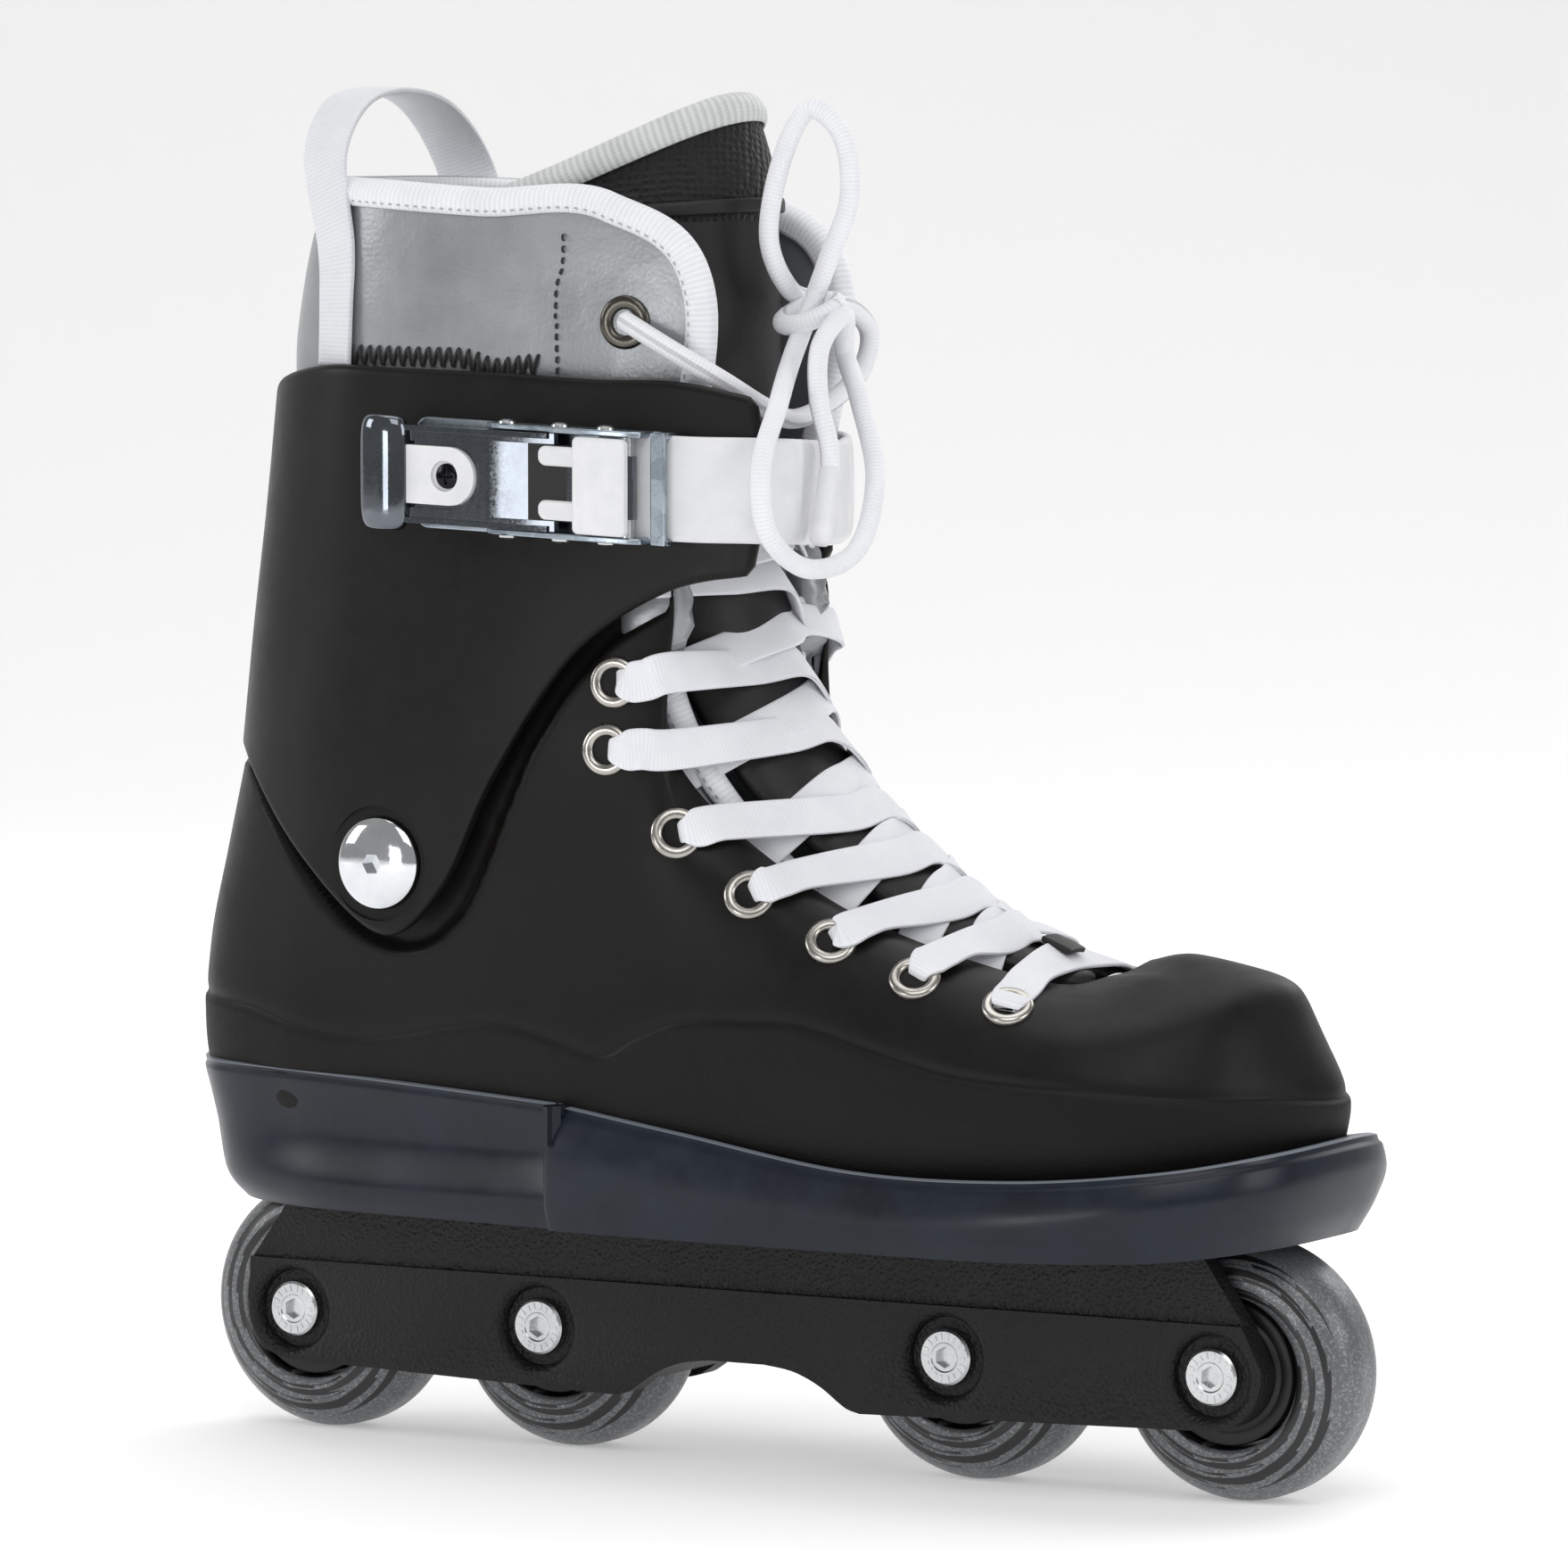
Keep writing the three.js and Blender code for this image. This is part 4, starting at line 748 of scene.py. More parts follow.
def startMaterial(name, shader, grains=()):
    # Each grain is a noise: the size of its lumps in mm, its detail and its roughness.
    material = bpy.data.materials.new(name)
    material.use_nodes = True
    tree = material.node_tree
    tree.nodes.clear()
    surfaceNode = addNode(tree, "BsdfPrincipled", shader)
    addNode(tree, "OutputMaterial", {"Surface": surfaceNode.outputs["BSDF"]})
    place = addNode(tree, "TexCoord", {}, "Object")
    fields = [
        addNode(tree, "TexNoise", {
            "Vector": place, "Scale": 1000 / size, "Detail": detail, "Roughness": roughness}, "Fac")
        for size, detail, roughness in grains]
    return material, tree, surfaceNode, place, *fields


def finishMaterial(tree, shader, links, bumps):
    # The bumps are laid over one another, each a height and its depth in mm from the height's 0 to its 1.
    normal = None
    for height, depth in bumps:
        normal = addNode(tree, "Bump", {
            "Strength": 1.0, "Distance": depth * mm, "Height": height, "Normal": normal}, "Normal")
    for name, source in {**links, "Normal": normal}.items():
        tree.links.new(source, shader.inputs[name])


middle = {"From Min": 0.3, "From Max": 0.7}  # where most of a noise's values lie
twoColours = {"data_type": "RGBA"}  # in a mix node: 0 is the share, 6 and 7 are the colours, 2 comes out


def mouldedPlastic(name, low, high, rough, grain=0.9, depth=0.02, specular=0.5, textured=False, coarse=None,
                   paintedRimHighlight=None):
    # Injection-moulded nylon or polyurethane: a fine spark-eroded grain, faint flow marks and worn patches,
    # and, where a colour is given, a painted highlight along the rim's edge.
    material, tree, shader, place, marks, wear, fine, wavy = startMaterial(
        name, {"IOR": 1.49, "Specular IOR Level": specular},
        [(38, 4, 0.55), (9, 5, 0.7), (grain, 2, 0.55), (24, 2, 0.55)])
    both = addNode(tree, "Math", {"operation": "MULTIPLY", 0: marks, 1: wear}, 0)
    share = addNode(tree, "MapRange", {"Value": both, "From Min": 0.12, "From Max": 0.42}, "Result")
    colour = addNode(tree, "Mix", {**twoColours, 0: share, 6: low, 7: high}, 2)
    if paintedRimHighlight:
        # a painted highlight: the rim's edge is coloured lighter from its own point attribute, standing in
        # for the light it catches
        edge = addNode(tree, "Attribute", {"attribute_name": "paintedRimHighlight"}, "Fac")
        share = addNode(tree, "MapRange", {"Value": edge, "From Min": 0.45, "From Max": 0.9}, "Result")
        colour = addNode(tree, "Mix", {**twoColours, 0: share, 6: colour, 7: paintedRimHighlight}, 2)
    roughness = addNode(tree, "MapRange", {
        **middle, "Value": wear, "To Min": rough - 0.05, "To Max": rough + 0.06}, "Result")
    bumps = [(fine, depth), (wavy, 0.12)]
    if coarse:
        pebble, pebbleDepth = coarse
        bumps.append((addNode(tree, "TexVoronoi", {
            "feature": "SMOOTH_F1", "Vector": place, "Scale": 1000 / pebble, "Smoothness": 0.6}, "Distance"),
            pebbleDepth))
    if textured:
        # the lower band has a coarser sanded texture, from its own point attribute
        band = addNode(tree, "Attribute", {"attribute_name": "textured"}, "Fac")
        sand = addNode(tree, "TexNoise", {
            "Vector": place, "Scale": 1000 / 0.8, "Detail": 4, "Roughness": 0.7}, "Fac")
        bumps.append((addNode(tree, "Math", {"operation": "MULTIPLY", 0: sand, 1: band}, 0), 0.22))
        rougher = addNode(tree, "Math", {"operation": "MULTIPLY", 0: band, 1: 0.12}, 0)
        roughness = addNode(tree, "Math", {"operation": "ADD", 0: roughness, 1: rougher}, 0)
    finishMaterial(tree, shader, {"Base Color": colour, "Roughness": roughness}, bumps)
    return material


def metalFinish(name, low, high, rough, scratch=0.01, grain=None):
    # Plated or bare steel: its colour, fine rubbing marks, and a zinc spangle where grain is given.
    material, tree, shader, place, cloud, fine = startMaterial(
        name, {"Metallic": 1.0}, [(14, 5, 0.65), (0.7, 3, 0.7)])
    share = addNode(tree, "MapRange", {**middle, "Value": cloud}, "Result")
    if grain:
        cell = addNode(tree, "TexVoronoi", {"Vector": place, "Scale": 1000 / grain}, "Color")
        share = addNode(tree, "SeparateColor", {"Color": cell}, 0)
    roughness = addNode(tree, "MapRange", {
        **middle, "Value": fine, "To Min": max(rough - 0.05, 0.02), "To Max": rough + 0.06}, "Result")
    colour = addNode(tree, "Mix", {**twoColours, 0: share, 6: low, 7: high}, 2)
    finishMaterial(tree, shader, {"Base Color": colour, "Roughness": roughness}, [(fine, scratch)])
    return material


def clothFinish(name, low, high, rough, thread=1.0, depth=0.12, sheen=0.25, chevron=True):
    # Woven tape: threads across and along it from its own uv, which is in mm of cloth, with soft fuzz.
    material, tree, shader, place, fuzz, cloud = startMaterial(
        name, {"IOR": 1.5, "Sheen Weight": sheen, "Sheen Roughness": 0.5}, [(0.5, 3, 0.7), (11, 3, 0.55)])
    uv = addNode(tree, "UVMap", {"uv_map": "cloth"}, "UV")
    parts = addNode(tree, "SeparateXYZ", {"Vector": uv})
    along, across = (
        addNode(tree, "Math", {"operation": "MULTIPLY", 0: parts.outputs[axis], 1: 2 * pi / (thread * mm)},
                0)
        for axis in "XY")
    if chevron:
        # the phase along the tape leans one way and then the other, a thread's width at a time
        zig = across
        for operation, value in (("MULTIPLY", 0.5), ("SINE", None), ("ABSOLUTE", None), ("MULTIPLY", 2.4)):
            zig = addNode(tree, "Math", {"operation": operation, 0: zig, 1: value}, 0)
        along = addNode(tree, "Math", {"operation": "ADD", 0: along, 1: zig}, 0)
    rows = across
    for operation, value in (("MULTIPLY", 2.0), ("SINE", None), ("MULTIPLY", 1.0 if chevron else 0.2)):
        rows = addNode(tree, "Math", {"operation": operation, 0: rows, 1: value}, 0)
    weave = along
    for operation, value in (("SINE", None), ("ADD", rows), ("MULTIPLY", 0.25), ("ADD", 0.5)):
        weave = addNode(tree, "Math", {"operation": operation, 0: weave, 1: value}, 0)
    clouded = addNode(tree, "Math", {"operation": "MULTIPLY", 0: cloud, 1: 0.5}, 0)
    shade = weave
    for operation, value in (("MULTIPLY", 0.6), ("ADD", clouded)):
        shade = addNode(tree, "Math", {"operation": operation, 0: shade, 1: value}, 0)
    share = addNode(tree, "MapRange", {"Value": shade, "From Min": 0.25, "From Max": 0.8}, "Result")
    colour = addNode(tree, "Mix", {**twoColours, 0: share, 6: low, 7: high}, 2)
    roughness = addNode(tree, "MapRange", {
        **middle, "Value": fuzz, "To Min": rough - 0.05, "To Max": rough + 0.05}, "Result")
    finishMaterial(tree, shader, {"Base Color": colour, "Roughness": roughness},
                   [(weave, depth), (fuzz, depth * 0.35)])
    return material


def leatherette(name, low, high, rough, grain=1.1, depth=0.05, coat=0.0, metallic=0.0):
    # Coated synthetic leather: a shallow skin grain over a soft backing, brighter where it is stretched.
    material, tree, shader, place, pore, cloud, wavy = startMaterial(
        name, {"IOR": 1.47, "Metallic": metallic, "Coat Weight": coat, "Coat Roughness": 0.35},
        [(0.5, 4, 0.6), (30, 4, 0.55), (16, 2, 0.55)])
    cell = addNode(tree, "TexVoronoi", {
        "feature": "SMOOTH_F1", "Vector": place, "Scale": 1000 / grain, "Smoothness": 0.8}, "Distance")
    share = addNode(tree, "MapRange", {**middle, "Value": cloud}, "Result")
    colour = addNode(tree, "Mix", {**twoColours, 0: share, 6: low, 7: high}, 2)
    roughness = addNode(tree, "MapRange", {
        **middle, "Value": pore, "To Min": rough - 0.05, "To Max": rough + 0.08}, "Result")
    finishMaterial(tree, shader, {"Base Color": colour, "Roughness": roughness},
                   [(cell, depth), (pore, depth * 0.5), (wavy, 0.5)])
    return material


def airMesh(name, low, high, cell=2.3):
    # Knitted spacer mesh: rows of small holes between raised strands, drawn at about its real pitch.
    material, tree, shader, place, fine = startMaterial(
        name, {"IOR": 1.5, "Roughness": 0.8, "Sheen Weight": 0.15}, [(0.45, 3, 0.7)])
    turn = addNode(tree, "Mapping", {"Rotation": (0.3, 0.2, 0.78), "Vector": place}, "Vector")
    hole = addNode(tree, "TexVoronoi", {"Vector": turn, "Scale": 1000 / cell, "Randomness": 0.35},
                   "Distance")
    strand = addNode(tree, "MapRange", {"Value": hole, "From Min": 0.1, "From Max": 0.62}, "Result")
    colour = addNode(tree, "Mix", {**twoColours, 0: strand, 6: low, 7: high}, 2)
    finishMaterial(tree, shader, {"Base Color": colour}, [(strand, 0.7), (fine, 0.1)])
    return material


def urethane(name):
    # Cast polyurethane with metal flake, and a dark swirl of ragged strokes printed on each side face.
    material, tree, shader, place, scuff, fine = startMaterial(
        name, {"IOR": 1.5, "Coat Weight": 0.25, "Coat Roughness": 0.25}, [(6, 5, 0.7), (1.4, 4, 0.6)])
    hub = addNode(tree, "Attribute", {"attribute_name": "hub"}, "Vector")
    parts = addNode(tree, "SeparateXYZ", {"Vector": hub})
    x, z = (parts.outputs[axis] for axis in "XZ")
    radius, rise = (addNode(tree, "Math", {"operation": "MULTIPLY", 0: way, 1: way}, 0) for way in (x, z))
    for operation, value in (("ADD", rise), ("SQRT", None), ("DIVIDE", mm)):
        radius = addNode(tree, "Math", {"operation": operation, 0: radius, 1: value}, 0)
    angle = addNode(tree, "Math", {"operation": "ARCTAN2", 0: z, 1: x}, 0)
    # arms that spiral outwards; each stroke swells along its length and ends in a ragged slanting tip
    arms, strokes = (
        addNode(tree, "Math", {"operation": "MULTIPLY", 0: angle, 1: count / (2 * pi)}, 0) for count in (3,
                                                                                                         5))
    wave, slant, stroke = radius, radius, radius
    for operation, value in (("DIVIDE", 3.6), ("ADD", arms), ("PINGPONG", 0.5)):
        wave = addNode(tree, "Math", {"operation": operation, 0: wave, 1: value}, 0)
    for operation, value in (("MULTIPLY", 0.9), ("PINGPONG", 0.5), ("MULTIPLY", 0.4)):
        slant = addNode(tree, "Math", {"operation": operation, 0: slant, 1: value}, 0)
    for operation, value in (
            ("MULTIPLY", 0.31), ("ADD", strokes), ("ADD", slant), ("FRACT", None), ("MULTIPLY", 0.47)):
        stroke = addNode(tree, "Math", {"operation": operation, 0: stroke, 1: value}, 0)
    inside = addNode(tree, "Math", {"operation": "LESS_THAN", 0: radius, 1: 27}, 0)
    dark = wave
    for operation, value in (("LESS_THAN", stroke), ("MULTIPLY", inside)):
        dark = addNode(tree, "Math", {"operation": operation, 0: dark, 1: value}, 0)
    flake = addNode(tree, "TexVoronoi", {"Vector": place, "Scale": 1000 / 0.45}, "Color")
    spark = addNode(tree, "SeparateColor", {"Color": flake}, 0)
    spark = addNode(tree, "MapRange", {"Value": spark, "From Min": 0.55, "From Max": 1.0}, "Result")
    scuffed = addNode(tree, "MapRange", {**middle, "Value": scuff, "To Max": 0.14}, "Result")
    colour = "#5f6164"
    for share, other in ((spark, "#8f9194"), (scuffed, "#5a5d60"), (dark, "#141516")):
        colour = addNode(tree, "Mix", {**twoColours, 0: share, 6: colour, 7: other}, 2)
    metal = addNode(tree, "MapRange", {**middle, "Value": spark, "To Min": 0.15, "To Max": 0.6}, "Result")
    bare = addNode(tree, "Math", {"operation": "SUBTRACT", 0: 1, 1: dark}, 0)
    finishMaterial(tree, shader, {
        "Base Color": colour, "Metallic": addNode(tree, "Math",
                                                  {"operation": "MULTIPLY", 0: bare, 1: metal}, 0),
        "Roughness": addNode(tree, "MapRange", {
            **middle, "Value": scuff, "To Min": 0.34, "To Max": 0.5}, "Result")}, [(fine, 0.03)])
    return material


shellPlastic = mouldedPlastic("moulded_polyurethane_black", "#0f0e0d", "#161413", 0.42, 0.7, 0.02, 0.2,
                              textured=True)
cuffPlastic = mouldedPlastic("moulded_nylon_black", "#0f0e0d", "#171514", 0.4, 0.7, 0.02, 0.22)
# the navy sole gets a painted highlight in light grey along its rim's edge
solePlastic = mouldedPlastic("moulded_nylon_navy", "#0d121b", "#161f2d", 0.33, 0.8, 0.015, 0.35,
                             paintedRimHighlight="#7d838c")
framePlastic = mouldedPlastic("pebbled_nylon_black", "#0f0f10", "#181819", 0.46, 0.6, 0.05, 0.3,
                              coarse=(0.9, 0.3))
whitePlastic = mouldedPlastic("moulded_nylon_white", "#dcdde0", "#ececee", 0.4, 0.8, 0.012)
corePlastic = mouldedPlastic("moulded_hub_black", "#101011", "#1a1a1b", 0.42, 0.8, 0.012, 0.4)
# painted shade: only used on the black sheet that stands for the shade between the buckle's rollers
slotShadePlastic = mouldedPlastic("painted_slot_shade_black", "#0c0c0d", "#151516", 0.4, 0.8, 0.01)
chrome = metalFinish("chrome_plated_steel", "#d4d7db", "#eceef0", 0.08, 0.002)
smokedChrome = metalFinish("smoked_chrome_plated_steel", "#62666c", "#73787e", 0.07, 0.002)
nickel = metalFinish("nickel_plated_steel", "#b9bbbd", "#d6d7d8", 0.24, 0.012)
eyeletMetal = metalFinish("rolled_nickel_brass", "#a19e98", "#bdbab4", 0.24, 0.001)
gunmetal = metalFinish("gunmetal_plated_brass", "#46443f", "#67645d", 0.24, 0.01)
zinc = metalFinish("galvanised_steel", "#8f99a3", "#b5bfc8", 0.3, 0.01, grain=3.5)
blackScrew = metalFinish("black_oxide_steel", "#1b1b1d", "#2c2c2f", 0.2, 0.004)
bearingSteel = metalFinish("bearing_steel", "#83868a", "#a3a6a9", 0.28, 0.006)
laceCotton = clothFinish("flat_woven_lace_white", "#dfe0e6", "#f4f5f9", 0.8, 0.8, 0.05)
cordCotton = clothFinish("round_braided_lace_white", "#dfe0e6", "#f6f7fa", 0.78, 0.9, 0.06)
webbing = clothFinish("woven_webbing_white", "#d6d8de", "#eeeff3", 0.7, 1.0, 0.12)
binding = clothFinish("ribbed_binding_white", "#dcdee3", "#f3f4f7", 0.6, 1.3, 0.1, chevron=False)
silverBinding = clothFinish("ribbed_binding_silver", "#b0b3b3", "#dcdedd", 0.45, 1.7, 0.3, chevron=False)
linerSkin = leatherette("leatherette_silver", "#8b8e91", "#a6a9ac", 0.35, 1.0, 0.05, coat=0.1, metallic=0.5)
tongueSkin = leatherette("leatherette_black", "#0b0b0c", "#131314", 0.5, 1.0, 0.05)
tongueMesh = airMesh("spacer_mesh_black", "#010101", "#0d0d0e", 1.7)
footbedFoam = clothFinish("footbed_felt_charcoal", "#232428", "#303136", 0.9, 1.4, 0.15)
threadBlack = clothFinish("sewing_thread_black", "#0d0d0e", "#1b1b1c", 0.7, 0.8, 0.05)
threadGrey = clothFinish("sewing_thread_grey", "#9ea1a5", "#b9bcbf", 0.7, 0.8, 0.05)
tyreUrethane = urethane("cast_urethane_grey")
print("materials made")


# ---- liner, tongue and their trim
linerSet = {"gap": 2.4, "wall": 4.5, "rows": 120, "columns": 400, "band": 4.2, "puff": 0.9}
bendFrom, bendTo = toRow([-79, 0, 148]), toRow([-79, 0, 214])


def bendPiece(obj, material, replaces=()):
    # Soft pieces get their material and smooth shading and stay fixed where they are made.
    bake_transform(dressed(obj, material, replaces, 50))
    return obj


def linerGrid():
    net = np.asarray(shellNet, float)
    under = offsetNet(net, -(wallAt(net) + linerSet["gap"]))
    under[:, 0, 2] = shellSet["bottom"] + shellSet["wall"] + linerSet["gap"] * 0.4
    collar = bothSides(collarHalf, shellSet["innerShare"])
    return surface(np.concatenate([under, collar], 1), linerSet["rows"], linerSet["columns"], True)


linerFace = linerGrid()


def makeLiner():
    s = linerSet
    face = linerFace
    out = normalsOf(face, True)
    puff = s["puff"] * smooth(244, 262, face[..., 2]) * (1
                                                         - smooth(0.93, 1.0,
                                                                  np.linspace(0, 1, len(face)))[:, None])
    face = face + out * puff[..., None]
    back = linerFace - out * s["wall"]
    whole = lipped(face, back, 7)
    whole[-1, :, 2] = whole[-1, :, 2].mean() + s["wall"]
    whole = floored(whole)
    return makeMesh("liner_padding", whole, capped(*whole.shape[:2]))


def transported(path):
    # Directions square to a path that turn as little as they can along it.
    run = unit(np.gradient(path, axis=0))
    side = np.zeros_like(run)
    first = np.cross(run[0], (0, 0, 1.0)) if abs(run[0][2]) < 0.9 else np.cross(run[0], (1.0, 0, 0))
    side[0] = first / np.linalg.norm(first)
    for k in range(1, len(path)):
        v = side[k - 1] - run[k] * np.dot(side[k - 1], run[k])
        side[k] = v / np.linalg.norm(v)
    return run, side, np.cross(run, side)


def tube(name, path, width, height=None, lead=None, around=14, square=2.0, taper=None, closed=False):
    # A section carried along a path, with its ends rounded off; uv is the run and the girth in mm.
    height = height or width
    if lead is None:
        run, side, out = transported(path)
    else:
        run, side, out = frames(path, lead, closed)
    section = oval(width, height, around, square)
    size = np.ones(len(path)) if taper is None else np.asarray(taper, float)
    if size.ndim == 1:
        size = np.stack([size, size], -1)
    rim = side[:, None] * (section[:, 0] * size[:, :1])[..., None] + out[:,
                                                                         None] * (section[:, 1]
                                                                                  * size[:, 1:])[..., None]
    grid = path[:, None] + rim
    if not closed:
        tip = height * 0.22
        ends = [path[0] - run[0] * tip + rim[0] * 0.6, path[-1] + run[-1] * tip + rim[-1] * 0.6]
        grid = np.concatenate([ends[0][None], grid, ends[1][None]])
    uv = np.stack(np.broadcast_arrays(lengths(grid.mean(1))[:, None], lengths(section)[None]), -1)
    faces = [quads(*grid.shape[:2], True, True)] if closed else capped(*grid.shape[:2])
    return cleaned(makeMesh(name, grid, faces, uv), merge=False)


def tape(name, line, out, up, section, thick, closed=False):
    # A sheet whose section goes out and up at each point of a line, then given its thickness.
    grid = line[None] + out[None] * section[:, None, :1] + up[None] * section[:, None, 1:]
    uv = np.stack(np.broadcast_arrays(lengths(line)[None], lengths(section)[:, None]), -1)
    obj = cleaned(makeMesh(name, grid, [quads(*grid.shape[:2], closed)], uv), merge=False)
    mod = obj.modifiers.new("tape", "SOLIDIFY")
    mod.thickness, mod.offset = thick * mm, 0
    return obj


def linerRim():
    # The liner's top edge, and the ways out and up from it.
    top, out = linerFace[-1], normalsOf(linerFace, True)[-1]
    up = unit(np.cross(np.roll(top, -1, 0) - np.roll(top, 1, 0), out))
    return top, out, up * np.sign(np.sum(up * (linerFace[-1] - linerFace[-4])))


def makeLinerBinding():
    # A ribbed tape folded over the liner's edge all the way round its mouth and throat.
    thick, drop = linerSet["wall"], linerSet["band"]
    section = np.array([
        (0.5, -drop), (1.2, -drop + 0.6), (1.6, -drop * 0.5), (1.2, -0.4), (0.1, 1.2), (-thick / 2, 1.9),
        (-thick - 0.2, 0.9), (-thick - 1.0, -1.2), (-thick - 0.9, -4)])
    return tape("liner_edge_binding", *linerRim(), spline(section, 22), 0.7, True)


def stitches(name, path, normal, length=2.6, gap=1.3, width=0.75, across=None):
    # Short thread loops laid end to end along a path, each one a small rounded bar of a few faces.
    run = lengths(path)
    starts = np.arange(gap, run[-1] - length, length + gap)
    at = lambda s: np.stack([np.interp(s, run, path[:, k]) for k in range(3)], -1)
    norm = lambda s: unit(np.stack([np.interp(s, run, normal[:, k]) for k in range(3)], -1))
    a, b = at(starts), at(starts + length)
    n = norm(starts + length / 2)
    if across is not None:
        b = b + across
    d = unit(b - a)
    side = np.cross(d, n)
    share = np.array([0, 0.12, 0.5, 0.88, 1])
    lift = np.array([-0.35, 0.25, 0.45, 0.25, -0.35])
    angle = np.arange(6) * pi / 3
    centre = a[:, None] + (b - a)[:, None] * share[:, None] + n[:, None] * lift[:, None]
    ring = side[:, None, None] * np.cos(angle)[:, None] + n[:, None, None] * np.sin(angle)[:, None]
    grid = centre[:, :, None] + ring * width / 2
    count, rows, columns = grid.shape[:3]
    base = quads(rows, columns, True)
    ends = np.array([np.arange(columns)[::-1], np.arange(columns) + (rows - 1) * columns])
    start = np.arange(count)[:, None, None] * rows * columns
    uv = np.zeros((count * rows * columns, 2))
    uv[:, 0] = np.tile(np.repeat(share * length, columns), count)
    uv[:, 1] = np.tile(np.arange(columns) * 0.4, count * rows)
    return makeMesh(name, grid.reshape(-1, 3),
                    [(base + start).reshape(-1, 4), (ends + start).reshape(-1, columns)], uv)


# the tongue's middle line, toe end to tip: x, z, half width, depth of its arch
tongueStations = np.array([
    (79, 118.5, 7, 2.5), (68, 123, 10, 4), (54, 130.5, 14, 6), (31, 148, 17, 9), (15, 164, 20.5, 12),
    (4, 183, 22, 16), (-2, 205, 25, 22), (-3.5, 230, 28, 30), (-3, 255, 29, 36), (-3, 280, 29.5, 42),
    (-4, 299, 29, 46), (-9, 316, 27, 46)])
tongueSet = {"thick": 4, "rows": 150, "columns": 64}
ridgeStations = [0.75, 1.4, 2.15, 2.7, 3.3, 4.36, 5.14,
                 6.05]  # where each eyelet's strand crosses the ridge
shellEyelets = np.array([
    (77.5, 112.7), (55.5, 118.5), (35, 126), (15.6, 136), (-2.9, 149.5), (-19.8, 167.4), (-19.2, 184.2)])


def tongueFace(places, spread, lift=0.0):
    # The tongue's face at places along its stations and shares of its half width, lifted off it.
    st = spline(tongueStations, places)
    before, after = (
        spline(tongueStations, np.clip(np.asarray(places) + step, 0, 11)) for step in (-0.02, 0.02))
    ahead = after - before
    run = unit(np.stack([ahead[:, 0], ahead[:, 1]], -1))
    x, z, width, depth = (st[:, k][:, None] for k in range(4))
    angle = np.arcsin(np.clip(spread, -1, 1))
    rise = depth * (np.cos(angle) - 1) + lift
    curl = smooth(9.3, 11, np.asarray(places))[:, None] * np.abs(spread) ** 2.5
    droop, back = 9 * curl, 7 * curl
    return np.stack([x + run[:, 1:] * rise - back, width * spread + 0 * rise,
                     z - run[:, :1] * rise - droop], -1)


def tongueSpread(count, share=0.94):
    # Shares of the half width that lie evenly round the tongue's arch.
    return np.sin(np.linspace(-0.5, 0.5, count) * pi * share)[None]


def makeTongue(name, low, high, rows, lift=0.0, thick=tongueSet["thick"]):
    face = tongueFace(np.linspace(low, high, rows), tongueSpread(tongueSet["columns"]), lift)
    out = normalsOf(face)
    if np.sum(out[rows // 2, tongueSet["columns"] // 2] * np.array([1, 0, 0.5])) < 0:
        out = -out
    face = face[:, ::-1]
    return sheetPiece(name, face, face - out[:, ::-1] * thick, 5)


def makeTongueSeam():
    # The folded edge of the panel where the mesh is sewn on.
    line, below = (tongueFace(np.array([place]), tongueSpread(60, 0.93), 1.2)[0] for place in (9.62, 9.4))
    return tube("tongue_seam_fold", line, 3.4, 1.4, line - below, 14, 3.0)


def seamOn(name, places, length, gap, width=0.7, across=None):
    # Stitches along a line in side view, laid on the liner's outer side.
    line = spline(np.array(places, float), 60)
    found = [onFace(linerFace, x, z, -1) for x, z in line]
    normal = np.array([n for _, n in found])
    skin = np.array([p for p, _ in found])
    for _ in range(6):
        skin[1:-1] = (skin[:-2] + skin[2:]) / 2
    return stitches(name, skin + normal * (linerSet["puff"] + 0.1), normal, length, gap, width, across)


def makeLinerSeams():
    seams = [seamOn("seam", [(-37, 247), (-36, 262), (-35.5, 276), (-34.5, 287.5)], 1.7, 1.0)]
    # the overlock's long and short throws, a pair at a time, just above the cuff
    for lean, height in ((-1.4, 4.6), (1.4, 4.6)):
        seams.append(seamOn("overlock", [(-94, 255.5), (-70, 254.5), (-42, 252)], 0.2, 2.6, 0.95,
                            np.array([lean, 0, height])))
    return joined("liner_seam_thread", seams)


def makeBindingStitches():
    top, out, up = linerRim()
    return stitches("binding_thread", top - up * (linerSet["band"] - 0.9) + out * 1.35, out, 1.3, 1.1, 0.5)


def makeTongueEdge():
    # Silver ribbed binding over the tongue's top edge and a little way down both sides.
    top, below = (tongueFace(np.array([place]), tongueSpread(90))[0] for place in (11.0, 10.5))
    up = unit(top - below)
    out = np.cross(up, unit(np.gradient(top, axis=0)))
    out *= np.sign(out[:, :1].mean())
    thick = tongueSet["thick"]
    section = np.array([
        (0.9, -4.8), (1.7, -4), (2.2, -1.8), (1.5, 0.6), (0, 1.9), (-thick / 2, 2.3), (-thick, 1.4),
        (-thick - 1.6, -0.6), (-thick - 1.8, -3), (-thick - 1.2, -5)])
    return tape("tongue_top_binding", top, out, up, spline(section, 24), 0.8)


def makeEyelet(name, at, normal, outer=6.0, bore=3.2, height=1.2):
    # A rolled ring: its face rounds over from the bore to a thin skirt.
    half = (outer - bore) / 2
    turn = np.linspace(0, pi, 12)
    roll = np.stack([(outer + bore) / 2 - half * np.cos(turn), height * np.sin(turn) ** 0.8 - 0.05], -1)
    profile = np.concatenate([[(bore, -2.4)], roll,
                              [(outer, -0.6), (outer - 0.8, -0.9), (bore + 0.5, -2.4)]])
    return turnedTo(turned(name, profile, 56), at, normal)


# ---- shell lace: a flat lace from each eyelet over the edge, across the tongue and under the other edge
laceSet = {"width": 9.6, "thick": 1.15, "steps": 72}


